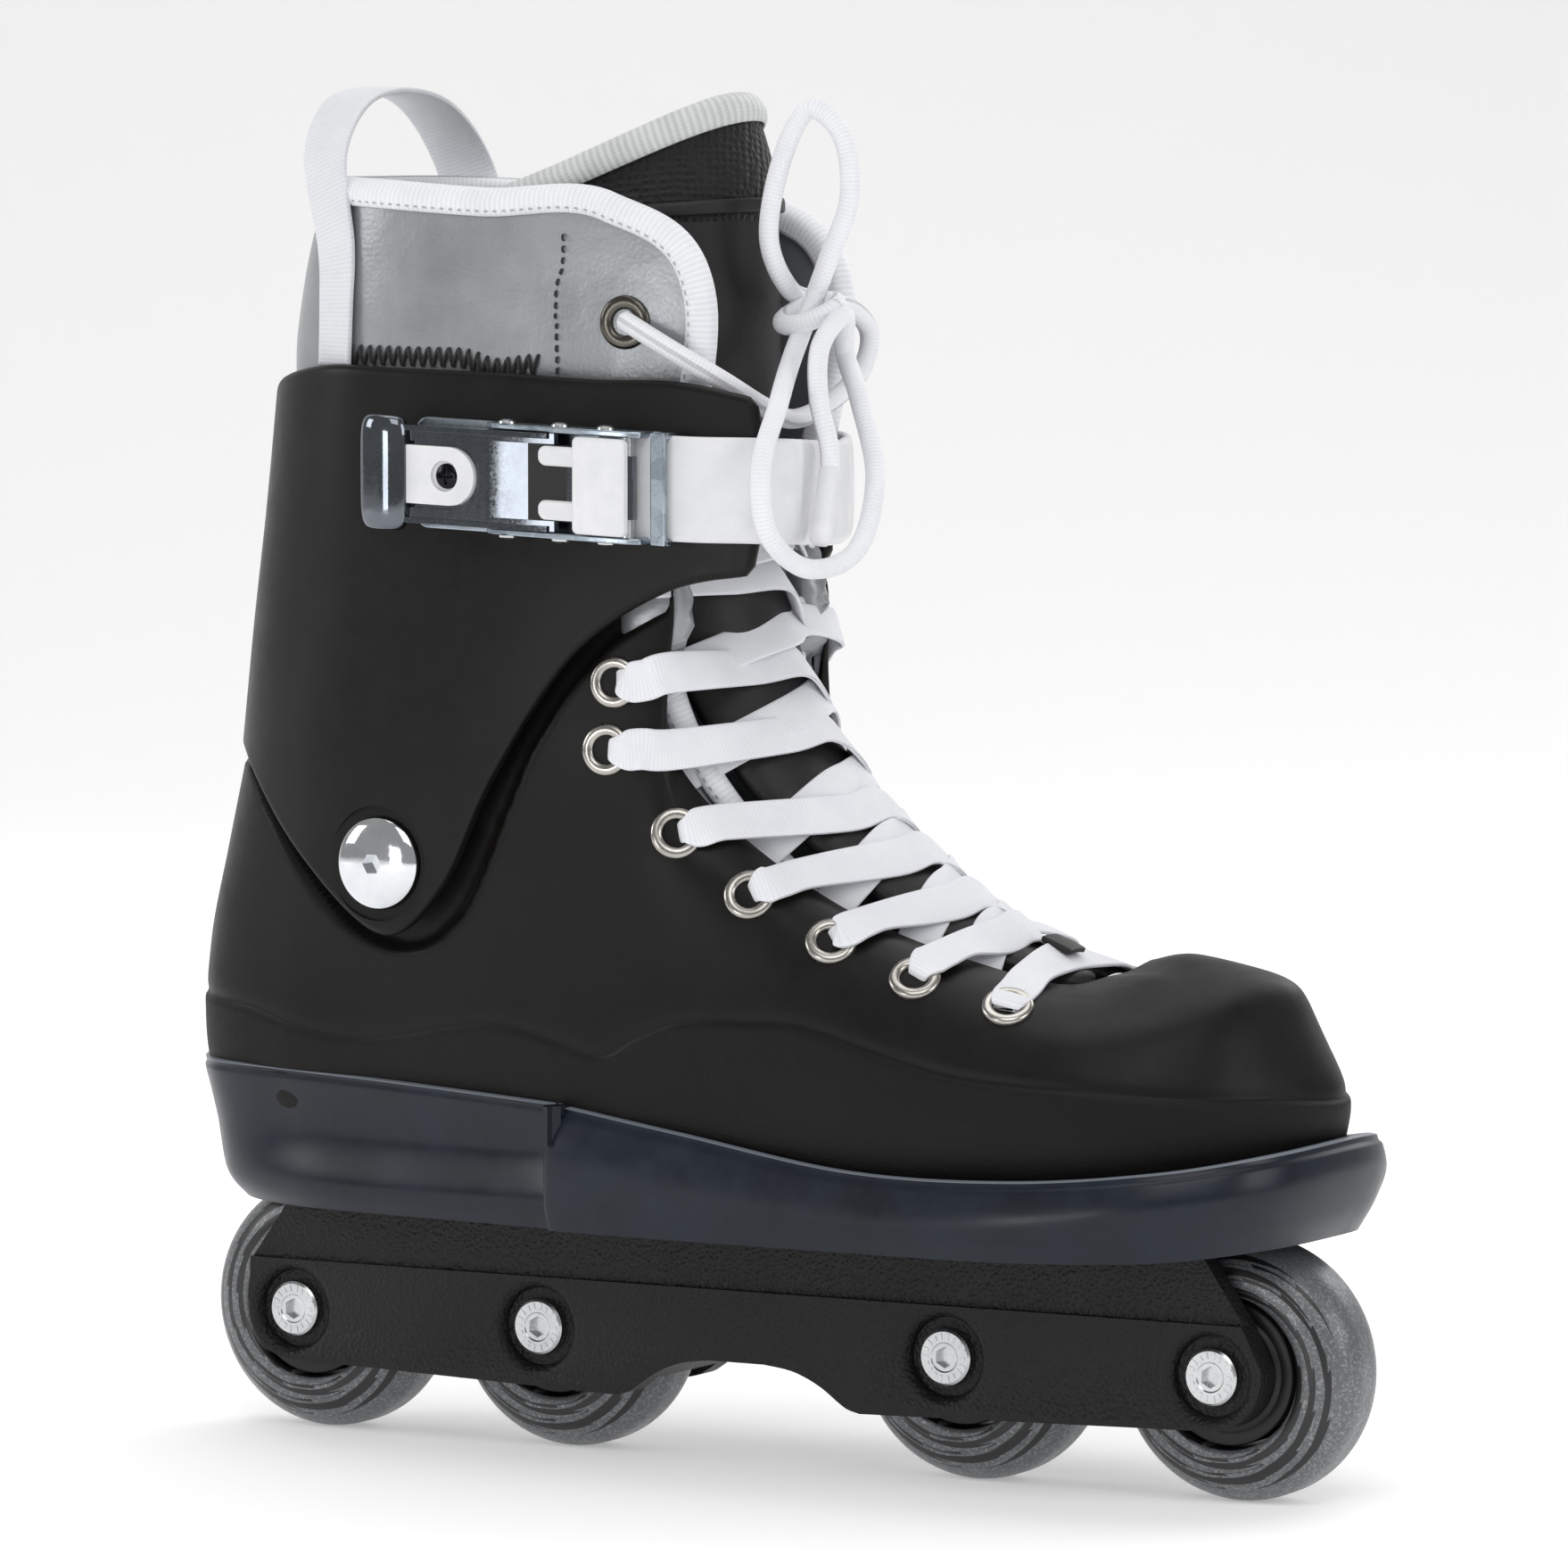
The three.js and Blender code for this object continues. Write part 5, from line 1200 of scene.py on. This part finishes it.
def overEdge(start, target, side):
    # Where a straight strand seen from the side crosses the shell's edge, and how the shell faces there.
    a, b = np.asarray(start, float), np.asarray(target, float)
    d = unit(b - a)
    edge = faceGrid[-1]
    off = edge[:, [0, 2]] - a
    far = np.abs(off[:, 0] * d[1] - off[:, 1] * d[0]) + 1e6 * (edge[:, 1] * side < 3) + 1e3 * (off @ d < 0)
    rim = edge[np.argmin(far)]
    _, normal = onFace(faceGrid, *(rim[[0, 2]] * 0.8 + a * 0.2), side)
    return rim, normal


def flatLace(name, k, side, lift):
    # From eyelet k + 1 on one side, over the ridge, down to under the edge by eyelet k on the other side.
    places = np.concatenate([shellEyelets, [(-20, 210)]])
    start, startNormal = onFace(faceGrid, *places[k + 1], side)
    # strands from the inner side lean more, as they were pulled through last
    stations = np.array([*ridgeStations, 6.9])
    lean = 0.4 if side > 0 else 0.0
    u0 = stations[k + 1] + lean * (stations[k + 2] - stations[k + 1])
    u1 = stations[k]
    share = np.array([0.62, 0.0, -0.62]) * side
    near = 0.92 if side > 0 else 0.62
    u = np.array([u0 + 0.04 + lean * 0.2, u0, u0 * near + u1 * (1 - near)])
    over = [tongueFace(np.array([p]), np.array([[q]]), r)[0, 0] for p, q,
            r in zip(u, share, (1.5, 1.2 + lift, 0.9))]
    rim, normal = overEdge(places[k + 1], over[0][[0, 2]], side)
    under, underNormal = overEdge(places[k] * 0.6 + places[k + 1] * 0.4, over[2][[0, 2]], -side)
    low = under - underNormal * (shellSet["wall"] + 1.5)
    between = []
    for t in (0.35, 0.7):
        at = start * (1 - t) + rim * t
        skin, skinNormal = onFace(faceGrid, at[0], at[2], side)
        between.append(skin + skinNormal * (1.7 + 0.6 * t))
    ahead = unit(rim - start)
    first = [start - startNormal * 2.6 + ahead * 1.2, start + startNormal * 1.1 + ahead * 1.8]
    if k + 1 == len(shellEyelets):
        first = [start - startNormal * 1.0, start - startNormal * 0.2]
    points = np.array([*first, *between, rim + normal * 2.5 + ahead, *over, low,
                       low - underNormal * 2 + (low - over[2]) * 0.25])
    path = spline(points, laceSet["steps"])
    slope = np.array([0.75, 0, 0.66])
    tilt = np.array([0, side * 0.85, 0])
    lead = spline(np.array([startNormal, startNormal, startNormal, normal, normal, slope + tilt, slope,
                            slope - tilt, underNormal,
                            underNormal]), laceSet["steps"])
    run = unit(np.gradient(path, axis=0))
    sideways = unit(np.cross(run, lead))
    s = np.linspace(0, 1, laceSet["steps"])
    wide = 0.52 + 0.48 * smooth(0.08, 0.28, s)
    thickness = 1.8 - 0.8 * smooth(0.08, 0.26, s)
    return tube(name, path, laceSet["width"], laceSet["thick"], sideways, 18, 5.0,
                np.stack([wide, thickness], -1))


def makeShellLace():
    strands = []
    for k in range(len(shellEyelets)):
        strands.append(flatLace("strand", k, 1, 0.0))
        strands.append(flatLace("strand", k, -1, laceSet["thick"] + 0.25))
    # the bar between the first pair of eyelets, which both strands start from
    first = shellEyelets[0]
    points, leads = [], []
    ridge = tongueFace(np.array([0.45]), np.array([[0.0]]), 1.6)[0, 0]
    for side in (-1, 1):
        at, normal = onFace(faceGrid, *first, side)
        rim, rimNormal = overEdge(first, ridge[[0, 2]], side)
        part = [at - normal * 2.4, at + normal * 1.3, (at + normal * 1.4 + rim + rimNormal * 1.9) / 2,
                rim + rimNormal * 1.9]
        lead = [normal, normal, rimNormal, rimNormal]
        points += part if side < 0 else part[::-1]
        leads += lead if side < 0 else lead[::-1]
        if side < 0:
            points.append(ridge)
            leads.append(np.array([0.6, 0, 0.8]))
    path = spline(np.array(points), 64)
    wide = 1 - 0.48 * smooth(0.3, 0.48, np.abs(np.linspace(-0.5, 0.5, 64)))
    run = unit(np.gradient(path, axis=0))
    sideways = unit(np.cross(run, spline(np.array(leads), 64)))
    strands.append(tube("strand", path, laceSet["width"], laceSet["thick"], sideways, 18, 5.0,
                        np.stack([wide, 1 + (1 - wide) * 1.6], -1)))
    return joined("shell_lace_flat", strands)


def makeLaceTag():
    # A blank folded tab round the lowest crossing.
    x = np.linspace(-0.5, 0.5, 22)
    centre = tongueFace(np.full(1, 0.62), np.sin(x * 0.9)[None] * 0.9, 3.6)[0]
    across = unit(centre - tongueFace(np.full(1, 0.3), np.sin(x * 0.9)[None] * 0.9, 3.6)[0])
    return tube("lace_tag_fold", centre, 8.2, 1.5, across, 20, 6.0)


# ---- liner lace: out of its eyelet, round the tongue, tied in front with two loops and a tail
bowPath = np.array([
    (-18, -40.5, 266), (-6, -42, 260), (5, -36, 252.5), (8.5, -22, 246), (7, -6, 243), (7, 10, 246),
    (8, 24, 253), (9, 27, 262), (8, 20, 268), (7, 6, 270), (7, -8, 273), (5, -14, 285), (8, -13, 303),
    (15, -13, 314), (23, -12, 308), (25, -12, 294), (19, -11, 280), (14, -11, 268), (15, -22, 256),
    (23, -42, 247), (25.5, -54, 234), (27, -54, 219), (31, -43, 210.5), (35.5, -28, 214), (35, -18, 230),
    (27, -11, 248), (19, -3, 258), (23, -11, 267), (24, -24, 260), (27.5, -31, 248), (31, -32, 235),
    (31, -36, 218)])
bowSet = {"diameter": 4.6, "steps": 420, "aglet": 15}


def makeBow():
    path = spline(bowPath, bowSet["steps"])
    cord = tube("liner_lace_cord", path, bowSet["diameter"], around=14)
    end = path[-1]
    run = unit(path[-1] - path[-12])
    tip = np.stack([end - run * bowSet["aglet"] * (1 - t) + run * 1.5 * t for t in np.linspace(0, 1, 12)])
    aglet = tube("liner_lace_aglet", tip, bowSet["diameter"] + 0.5, around=20)
    return cord, aglet, path


def makeKnot():
    # The turn of lace round the crossing that holds the two loops.
    t = np.linspace(0, 2 * pi, 80)[:-1]
    loop = np.stack([14 + 7.2 * np.cos(t), -11 + 5.0 * np.sin(t) - 1.2 * np.cos(t),
                     267.5 + 2.8 * np.sin(t + 0.5)], -1)
    return tube("liner_lace_knot", loop, bowSet["diameter"], around=14, lead=(0, 0.2, 1), closed=True)


# ---- pull loop
def makePullLoop():
    feet = {}
    for side in (-1, 1):
        feet[side] = [sum(np.multiply(part, share) for part,
                          share in zip(onFace(linerFace, -98, z, side), (1, 1.4)))
                      for z in (254.5, 268, 283)]
    crown = [(-104, -31, 303), (-106.5, -18, 315.5), (-107, 0, 319), (-106.5, 18, 315.5), (-104, 30, 303)]
    path = spline(np.array([*feet[-1], *crown, *feet[1][::-1]]), 120)
    lead = np.stack([-np.ones(120), 0.55 * np.cos(np.linspace(0, pi, 120)), np.zeros(120)], -1)
    return tube("pull_loop_webbing", path, 14, 1.7, lead, 18, 5.0)


# ---- buckle and strap, laid out in y outwards from the cuff
buckleSet = {
    "x0": -47, "x1": -1, "z": 228.5, "height": 25.5, "face": -49.4, "base": 2, "rail": 1.4,
    "pin": (-8, -56.5, 1.6), "lever": -57.7, "leverThick": 1.8, "leverHalf": 11.2, "tray": (-45.2, -32.6),
    "padFall": 1.5, "screwX": -54, "rivets": (-40, -26, -14), "tilt": 0.042}
strapSet = {"width": 21.8, "thick": 2.2, "screw": (-38, 50.3)}
strapPath = np.array([
    (-17, -51.75, 228.5), (-3, -51.75, 228.4), (8, -50.8, 228.1), (17, -47.6, 228), (22.6, -39, 227.6),
    (22.6, -26, 227), (19, -12, 226.3), (13, 3, 226), (6, 18, 226), (-1, 33, 226.4), (-10, 42.6, 227),
    (-28, 46, 228), (-46, 47.4, 228.5)])


def roundBox(x0, x1, z0, z1, left, right, count=10):
    # A rectangle in side view with its left and right corners rounded, each by its own radius.
    return np.concatenate([
        arc(x0 + left, z0 + left, left, 180, 270, count), arc(x1 - right, z0 + right, right, 270, 360,
                                                              count),
        arc(x1 - right, z1 - right, right, 0, 90, count), arc(x0 + left, z1 - left, left, 90, 180, count)])


def tilted(obj):
    # The buckle's rear end stands a little higher than its pin.
    p = pointsOf(obj)
    p[:, 2] += (buckleSet["pin"][0] - p[:, 0]) * buckleSet["tilt"]
    setPoints(obj, p)
    return obj


def pillow(name, centre, sizes, edge=(0.5, 1.0), rows=24, around=40):
    # A superellipsoid: each coordinate is its half size times powers of the sines and cosines of two angles.
    v = np.linspace(-pi / 2, pi / 2, rows)[:, None]
    u = np.arange(around)[None] * 2 * pi / around
    power = lambda value, p: np.sign(value) * np.abs(value) ** p
    ring = power(np.cos(v), edge[0])
    grid = np.stack([ring * power(np.cos(u), edge[1]) * sizes[0] / 2,
                     ring * power(np.sin(u), edge[1]) * sizes[1] / 2,
                     power(np.sin(v), edge[0]) * sizes[2] / 2 + 0 * u], -1) + np.array(centre)
    return cleaned(makeMesh(name, grid, [quads(rows, around, True)]))


def makeBuckle():
    s = buckleSet
    low, high = s["z"] - s["height"] / 2, s["z"] + s["height"] / 2
    z, x0, x1 = s["z"], s["x0"], s["x1"]
    pinX, pinY, pinRadius = s["pin"]
    # base plate with a folded rail along each edge, and the sleeve the strap leaves by
    parts = [plate("base", roundBox(x0 - 20, x1, low, high, 3, 0.6), s["face"] - s["base"], s["face"])]
    for edge in (low, high - s["rail"]):
        rail = np.array([(x0 + 1, s["face"]), (x0 + 1, -55), (x0 + 4, -57.4), (pinX + 1, -59.4),
                         (x1 - 3, -57.5), (x1 - 3, s["face"])])
        parts.append(plate("rail", rail, edge, edge + s["rail"], "z"))
    base = joined("buckle_base_plate", parts)
    sleeve = []
    for y0, y1, z0, z1 in (
            (-56.4, -55.0, low, high), (-55.4, -50, low, low + 1.4), (-55.4, -50, high - 1.4, high)):
        sleeve.append(block("sleeve", x1 - 1.1, x1 + 2.6, y0, y1, z0, z1))
    sleeve = joined("buckle_sleeve", sleeve)
    rivets = []
    for x in s["rivets"]:
        for edge, way in ((low, -1), (high, 1)):
            head = [(0, 0), (2.2, 0), (2.1, 0.5), (1.4, 0.95), (0, 1.1)]
            rivets.append(turnedTo(turned("rivet", head, 24), (x, -55.6, edge), (0, 0, way), (1, 0, 0)))
    rivets = joined("buckle_rivets", rivets)
    # lever: its tray holds the grip, its pad slopes down to the rollers, and its thumb end is a rolled bar
    inner, outer, half = s["lever"], s["lever"] - s["leverThick"], s["leverHalf"]
    trayEnd, padEnd = s["tray"]
    fall = s["padFall"]
    tray = plate("tray", roundBox(x0 - 21, trayEnd, z - half, z + half, 0.5, 0.5), outer, inner)
    tray = carved(tray, [plate("recess", roundBox(x0 - 21.4, trayEnd - 0.4, z - 7.6, z + 7.6, 1, 7.6),
                               outer - 1, outer + 1.0)])
    edge = [(trayEnd - 0.6, inner), (trayEnd - 0.6, outer), (trayEnd + 1, outer - 0.35),
            (trayEnd + 3, outer - 0.2),
            (padEnd, outer + fall), (padEnd, inner + fall)]
    levers = [tray, plate("pad", edge, z - 8.8, z + 8.8, "z")]
    for way in (-1, 1):
        z0, z1 = sorted([z + way * 8.7, z + way * half])
        arm = [*edge[:4], (padEnd + 6, outer + fall * 1.4), (padEnd + 6, inner + fall * 1.4)]
        levers.append(plate("arm", arm, z0, z1, "z"))
        z0, z1 = sorted([z + way * (half - 1.3), z + way * half])
        flange = [(x0 - 22, inner + 0.4), (x0 - 16, inner + 2.4), (x0 + 10, inner + 2.2),
                  (x0 + 19, inner + 1.5), (x0 + 19, outer + 1),
                  (x0 + 4, outer - 0.9), (x0 - 14, outer - 0.9), (x0 - 22, outer - 1.4)]
        levers.append(plate("flange", flange, z0, z1, "z"))
    link = [
        (padEnd - 1, inner + fall), (padEnd - 1, outer + fall + 0.5), (pinX - 4, outer + 0.4),
        (pinX + 1, outer + 0.4), (pinX + 2.2, pinY - 1.2), (pinX + 2.2, pinY + 0.6), (pinX + 1, pinY + 2.1),
        (pinX - 2.6, pinY + 2), (pinX - 5, inner + fall)]
    levers.append(plate("link", link, z - 7.2, z + 7.2, "z"))
    lever = joined("buckle_lever_plate", levers)
    bar = pillow("buckle_thumb_bar", (x0 - 23.2, outer - 0.5, z), (12.4, 7, 26.5), (0.36, 1.0))
    # white grip block with its round end, and a screw down a round well
    grip = plate("buckle_grip_block", roundBox(x0 - 20.6, trayEnd - 0.9, z - 6.7, z + 6.7, 1.1, 6.7),
                 outer - 1.1, outer + 1.2)
    well = s["screwX"]
    grip = carved(grip, [rod("well", 3.5, outer - 6, outer - 0.2, (well, 0, z), around=48)])
    head = [(0, 0), (2.9, 0), (2.9, 0.5), (2.4, 0.9), (0, 1.0)]
    screw = turnedTo(turned("screw", head, 40), (well + 0.5, outer - 0.15, z), (0, -1, 0))
    cross = [block("slot", well + 0.5 - w, well + 0.5 + w, outer - 4, outer - 0.6, z - h, z + h)
             for w, h in ((1.9, 0.36), (0.36, 1.9))]
    screw = carved(screw, cross)
    screw.name = "buckle_grip_screw"
    # rollers behind the nose, a black sheet in the slot between them that paints the shade in the gap, and
    # the white nose
    rollers = []
    for z0, z1 in ((z - 8.4, z - 3.9), (z + 3.9, z + 8.4)):
        rollers.append(plate("roller", roundBox(-29.8, -18.5, z0, z1, 1.9, 0.8), -59.6, -56.6))
    rollers = joined("buckle_rollers", rollers)
    slot = block("buckle_slot_painted_shade", -33, -18, -58.3, -57.9, z - 8.7, z + 8.7)
    nose = plate("buckle_nose_block", roundBox(-19.4, -5.9, z - 11, z + 11, 1.3, 1.3), -62.2, -59.3)
    pin = rod("buckle_pin_bar", pinRadius, low + 0.1, high - 0.1, (pinX, pinY, 0), "z", 32)
    return [tilted(obj) for obj in (base, sleeve, rivets, lever, bar, grip, screw, rollers, slot, nose,
                                    pin)]


def makeStrap():
    # The section's thickness grows outwards from the path; ribs stand on its front stretch.
    s = strapSet
    path = spline(strapPath, 260)
    run, side, out = frames(path, (0, 0, 1))
    across = np.linspace(-0.5, 0.5, 13) * s["width"]
    crown = 0.35 * (1 - (2 * across / s["width"]) ** 4)
    share = np.linspace(0, 1, len(path))
    ribs = smooth(0.34, 0.37, share) * (1 - smooth(0.7, 0.73, share))
    wave = 0.55 * np.clip(np.sin(lengths(path) * 2 * pi / 3.0) + 0.35, 0, 1) * ribs
    ribbed = np.abs(across) < s["width"] * 0.42
    back = path[:, None] + side[:, None] * across[:, None]
    face = back + out[:, None] * (s["thick"] - 0.35 + crown + wave[:, None] * ribbed)[..., None]
    obj = cleaned(sheetPiece("strap_ladder", face, back, 5), merge=False)
    x, y = s["screw"]
    head = [(0, 0), (4.6, 0), (4.6, 0.7), (4.0, 1.5), (2.6, 1.95), (1.6, 2.0), (1.5, 1.2), (0, 1.2)]
    screw = turnedTo(turned("strap_screw_head", head, 48), (x, y - 1.2, buckleSet["z"]), (0, 1, 0))
    return obj, screw


# ---- everything made, finished and put on its body
def assemble():
    finishPiece(makeShell(), shellPlastic, "boot", ["boot_shell"], angle=60)
    print("shell made")
    finishPiece(makeCuff(), cuffPlastic, "cuff", ["cuff"], angle=50)
    finishPiece(makeSole(), solePlastic, "boot", ["soul_plate"], bevel=0.5, angle=50)
    finishPiece(makeFrame(), framePlastic, "boot", ["frame"], bevel=frameSet["edge"], angle=45)
    print("cuff, sole and frame made")
    for index, x in enumerate(frameSet["axles"], 1):
        body = f"wheel_{index}"
        finishPiece(makeTyre(f"tyre_cast_{index}", x), tyreUrethane, body, [f"tyre_{index}"], angle=50)
        finishPiece(makeCore(f"wheel_core_moulded_{index}", x), corePlastic, body, [f"wheel_core_{index}"],
                    angle=40)
        for letter, side in (("a", -1), ("b", 1)):
            finishPiece(makeBearing(f"bearing_shield_{letter}_{index}", x, side), bearingSteel, body,
                        [f"bearing_outer_{letter}_{index}"], angle=35)
            finishPiece(makeBearingInner(f"bearing_bore_{letter}_{index}", x, side), bearingSteel, "boot",
                        [f"bearing_inner_{letter}_{index}"], angle=35)
        heads = [makeAxleHead(f"axle_head_{index}", x, -1), makeAxle("shank", x)]
        finishPiece(joined(f"axle_bolt_{index}", heads), nickel, "boot", [f"axle_{index}"], angle=30)
        finishPiece(makeAxleHead(f"axle_screw_head_{index}", x, 1), nickel, "boot",
                    [f"axle_screw_{index}"], angle=30)
        coated(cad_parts[f"bearing_spacer_{index}"], bearingSteel)
    print("wheels made")


def makePivot(name, side):
    s = cuffSet
    face = s["pivotFace"][name] - s["dish"][1] + 0.15
    t = np.linspace(0, pi / 2, 16)
    dome = np.stack([11 * np.sin(t), face + 3.5 * np.cos(t) ** 0.9], -1)
    dome = np.concatenate([dome[:-1], [(11, face + 0.2), (10.6, face), (7.5, face), (7.5, face - 4.9),
                                       (0, face - 4.9)]])
    bolt = turned("pivot", dome[::-1], 96, (pivotPlace[0], 0, pivotPlace[1]), side)
    angle = np.arange(6) * pi / 3
    flat = wheelSet["hex"] / sqrt(3)
    hexagon = np.stack([pivotPlace[0] + flat * np.cos(angle), pivotPlace[1] + flat * np.sin(angle)], -1)
    low, high = sorted([side * (face + 1.2), side * (face + 6)])
    bolt = carved(bolt, [plate("socket", hexagon, low, high)])
    bolt.name = "pivot_dome_" + name
    return bolt


def assembleTop():
    for name, side in pivotSides.items():
        finishPiece(makePivot(name, side), chrome, "boot", ["pivot_bolt_" + name], angle=35)
        coated(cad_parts["pivot_nut_" + name], nickel)
    for end in ("front", "rear"):
        coated(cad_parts["frame_bolt_" + end], nickel)
    felt = bpy.data.objects.new("footbed_felt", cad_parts["footbed"].data.copy())
    scene.collection.objects.link(felt)
    clothUv(cleaned(felt), pointsOf(felt)[:, :2])
    finishPiece(felt, footbedFoam, "boot", ["footbed"], bevel=1.2, angle=50)

    liner = bendPiece(makeLiner(), linerSkin, ["liner"])
    bendPiece(makeLinerBinding(), binding)
    tongue = bendPiece(makeTongue("tongue_panel", 0, 9.65, 120), tongueSkin, ["tongue"])
    mesh = bendPiece(makeTongue("tongue_mesh_panel", 9.5, 11, 50, 0.5, 5.0), tongueMesh)
    bendPiece(makeTongueSeam(), tongueSkin)
    bendPiece(makeLinerSeams(), threadBlack)
    bendPiece(makeBindingStitches(), threadGrey)
    bendPiece(makeTongueEdge(), silverBinding)
    print("liner and tongue made")

    eyelets = []
    for x, z in shellEyelets:
        for side in (-1, 1):
            at, normal = onFace(faceGrid, x, z, side)
            eyelets.append(makeEyelet("eyelet", at, normal))
    finishPiece(joined("shell_eyelets", eyelets), eyeletMetal, "boot", angle=40)
    finishPiece(makeShellLace(), laceCotton, "boot", ["shell_lace"], angle=60)
    finishPiece(makeLaceTag(), tongueSkin, "boot", angle=50)
    linerEyelets = []
    for side in (-1, 1):
        at, normal = onFace(linerFace, -18.2, 266.2, side)
        linerEyelets.append(makeEyelet("liner_eyelet", at + normal * 0.9, normal, 6.2, 3.0, 1.1))
    bendPiece(joined("liner_eyelets", linerEyelets), gunmetal)

    bendPiece(makePullLoop(), webbing, ["pull_loop"])
    cord, aglet, path = makeBow()
    knot = makeKnot()
    bendPiece(knot, cordCotton)
    bendPiece(aglet, whitePlastic)
    bendPiece(cord, cordCotton, ["liner_lace"])
    row = toRow(path)
    float(lengths(row)[-1])
    print("laces made")

    base, sleeve, rivets, lever, bar, grip, screw, rollers, slot, nose, pin = makeBuckle()
    finishPiece(base, zinc, "cuff", ["buckle_base"], bevel=0.3, angle=40)
    finishPiece(sleeve, zinc, "cuff", bevel=0.3, angle=40)
    finishPiece(rivets, nickel, "cuff", angle=40)
    finishPiece(pin, nickel, "cuff", ["buckle_pin"], bevel=0.3, angle=40)
    finishPiece(lever, smokedChrome, "lever", ["buckle_lever"], bevel=0.45, angle=40)
    finishPiece(bar, smokedChrome, "lever", angle=80)
    finishPiece(grip, whitePlastic, "lever", ["buckle_grip"], bevel=0.5, angle=40)
    finishPiece(screw, blackScrew, "lever", ["buckle_screw"], bevel=0.2, angle=40)
    finishPiece(rollers, whitePlastic, "lever", bevel=0.5, angle=40)
    # the black sheet in the slot is painted shade
    finishPiece(slot, slotShadePlastic, "lever")
    finishPiece(nose, whitePlastic, "lever", ["buckle_nose"], bevel=0.7, angle=40)
    strap, strapScrew = makeStrap()
    finishPiece(strap, whitePlastic, "cuff", ["strap"], angle=40)
    finishPiece(strapScrew, chrome, "cuff", ["strap_screw"], angle=40)
    print("buckle and strap made")


assemble()
assembleTop()


# ---- floor, walls of light
def makeStage():
    floor = bpy.data.objects.new("floor", bpy.data.meshes.new("floor"))
    scene.collection.objects.link(floor)
    # a floor that turns up into a back wall, as one curved sheet
    t = np.linspace(0, pi / 2, 24)
    profile = np.concatenate([
        [(-2.5, 0)], np.stack([2.0 + 1.5 * np.sin(t), 1.5 - 1.5 * np.cos(t)], -1), [(3.5, 5)]])
    a = radians(cameraSet["azimuth"])
    away, side = np.array([-sin(a), cos(a), 0]), np.array([cos(a), sin(a), 0])
    across = np.linspace(-5, 5, 12)
    grid = profile[:, None, :1] * away + across[:, None] * side + profile[:, None, 1:] * np.array([0, 0, 1])
    floor.data.from_pydata(grid.reshape(-1, 3).tolist(), [], quads(len(profile), 12).tolist())
    floor.data.shade_smooth()
    floor.data.materials.append(startMaterial("backdrop_paper_white", {
        "Roughness": 0.9, "Specular IOR Level": 0.1, "Base Color": "#f4f4f4", "Emission Color": "#ffffff",
        "Emission Strength": 0.3})[0])


lightSet = {
    "strip": ((-0.28, -1.7, 0.23), 0.42, 3),
    "key": ((0.9, -1.5, 1.9), 1.5, 15), "left": ((-1.9, -1.0, 0.9), 0.8, 9), "right": ((2.0, -0.2, 0.9),
                                                                                       0.9, 8),
    "top": ((-0.2, 0.3, 2.2), 1.6, 14), "back": ((0.4, 1.9, 1.5), 1.4, 10)}


def makeLights():
    for name, (place, size, power) in lightSet.items():
        lamp = bpy.data.lights.new(name, "AREA")
        lamp.shape, lamp.size, lamp.energy = "SQUARE", size, power
        obj = bpy.data.objects.new(name, lamp)
        scene.collection.objects.link(obj)
        obj.location = place
        obj.rotation_mode = "QUATERNION"
        obj.rotation_quaternion = (Vector((0, 0, 0.15)) - Vector(place)).to_track_quat("-Z", "Y")
    world = bpy.data.worlds.new("studio")
    scene.world = world
    world.use_nodes = True
    world.node_tree.nodes["Background"].inputs["Color"].default_value = (1, 1, 1, 1)
    world.node_tree.nodes["Background"].inputs["Strength"].default_value = 0.32


makeStage()
makeLights()
print("stage and lights made")
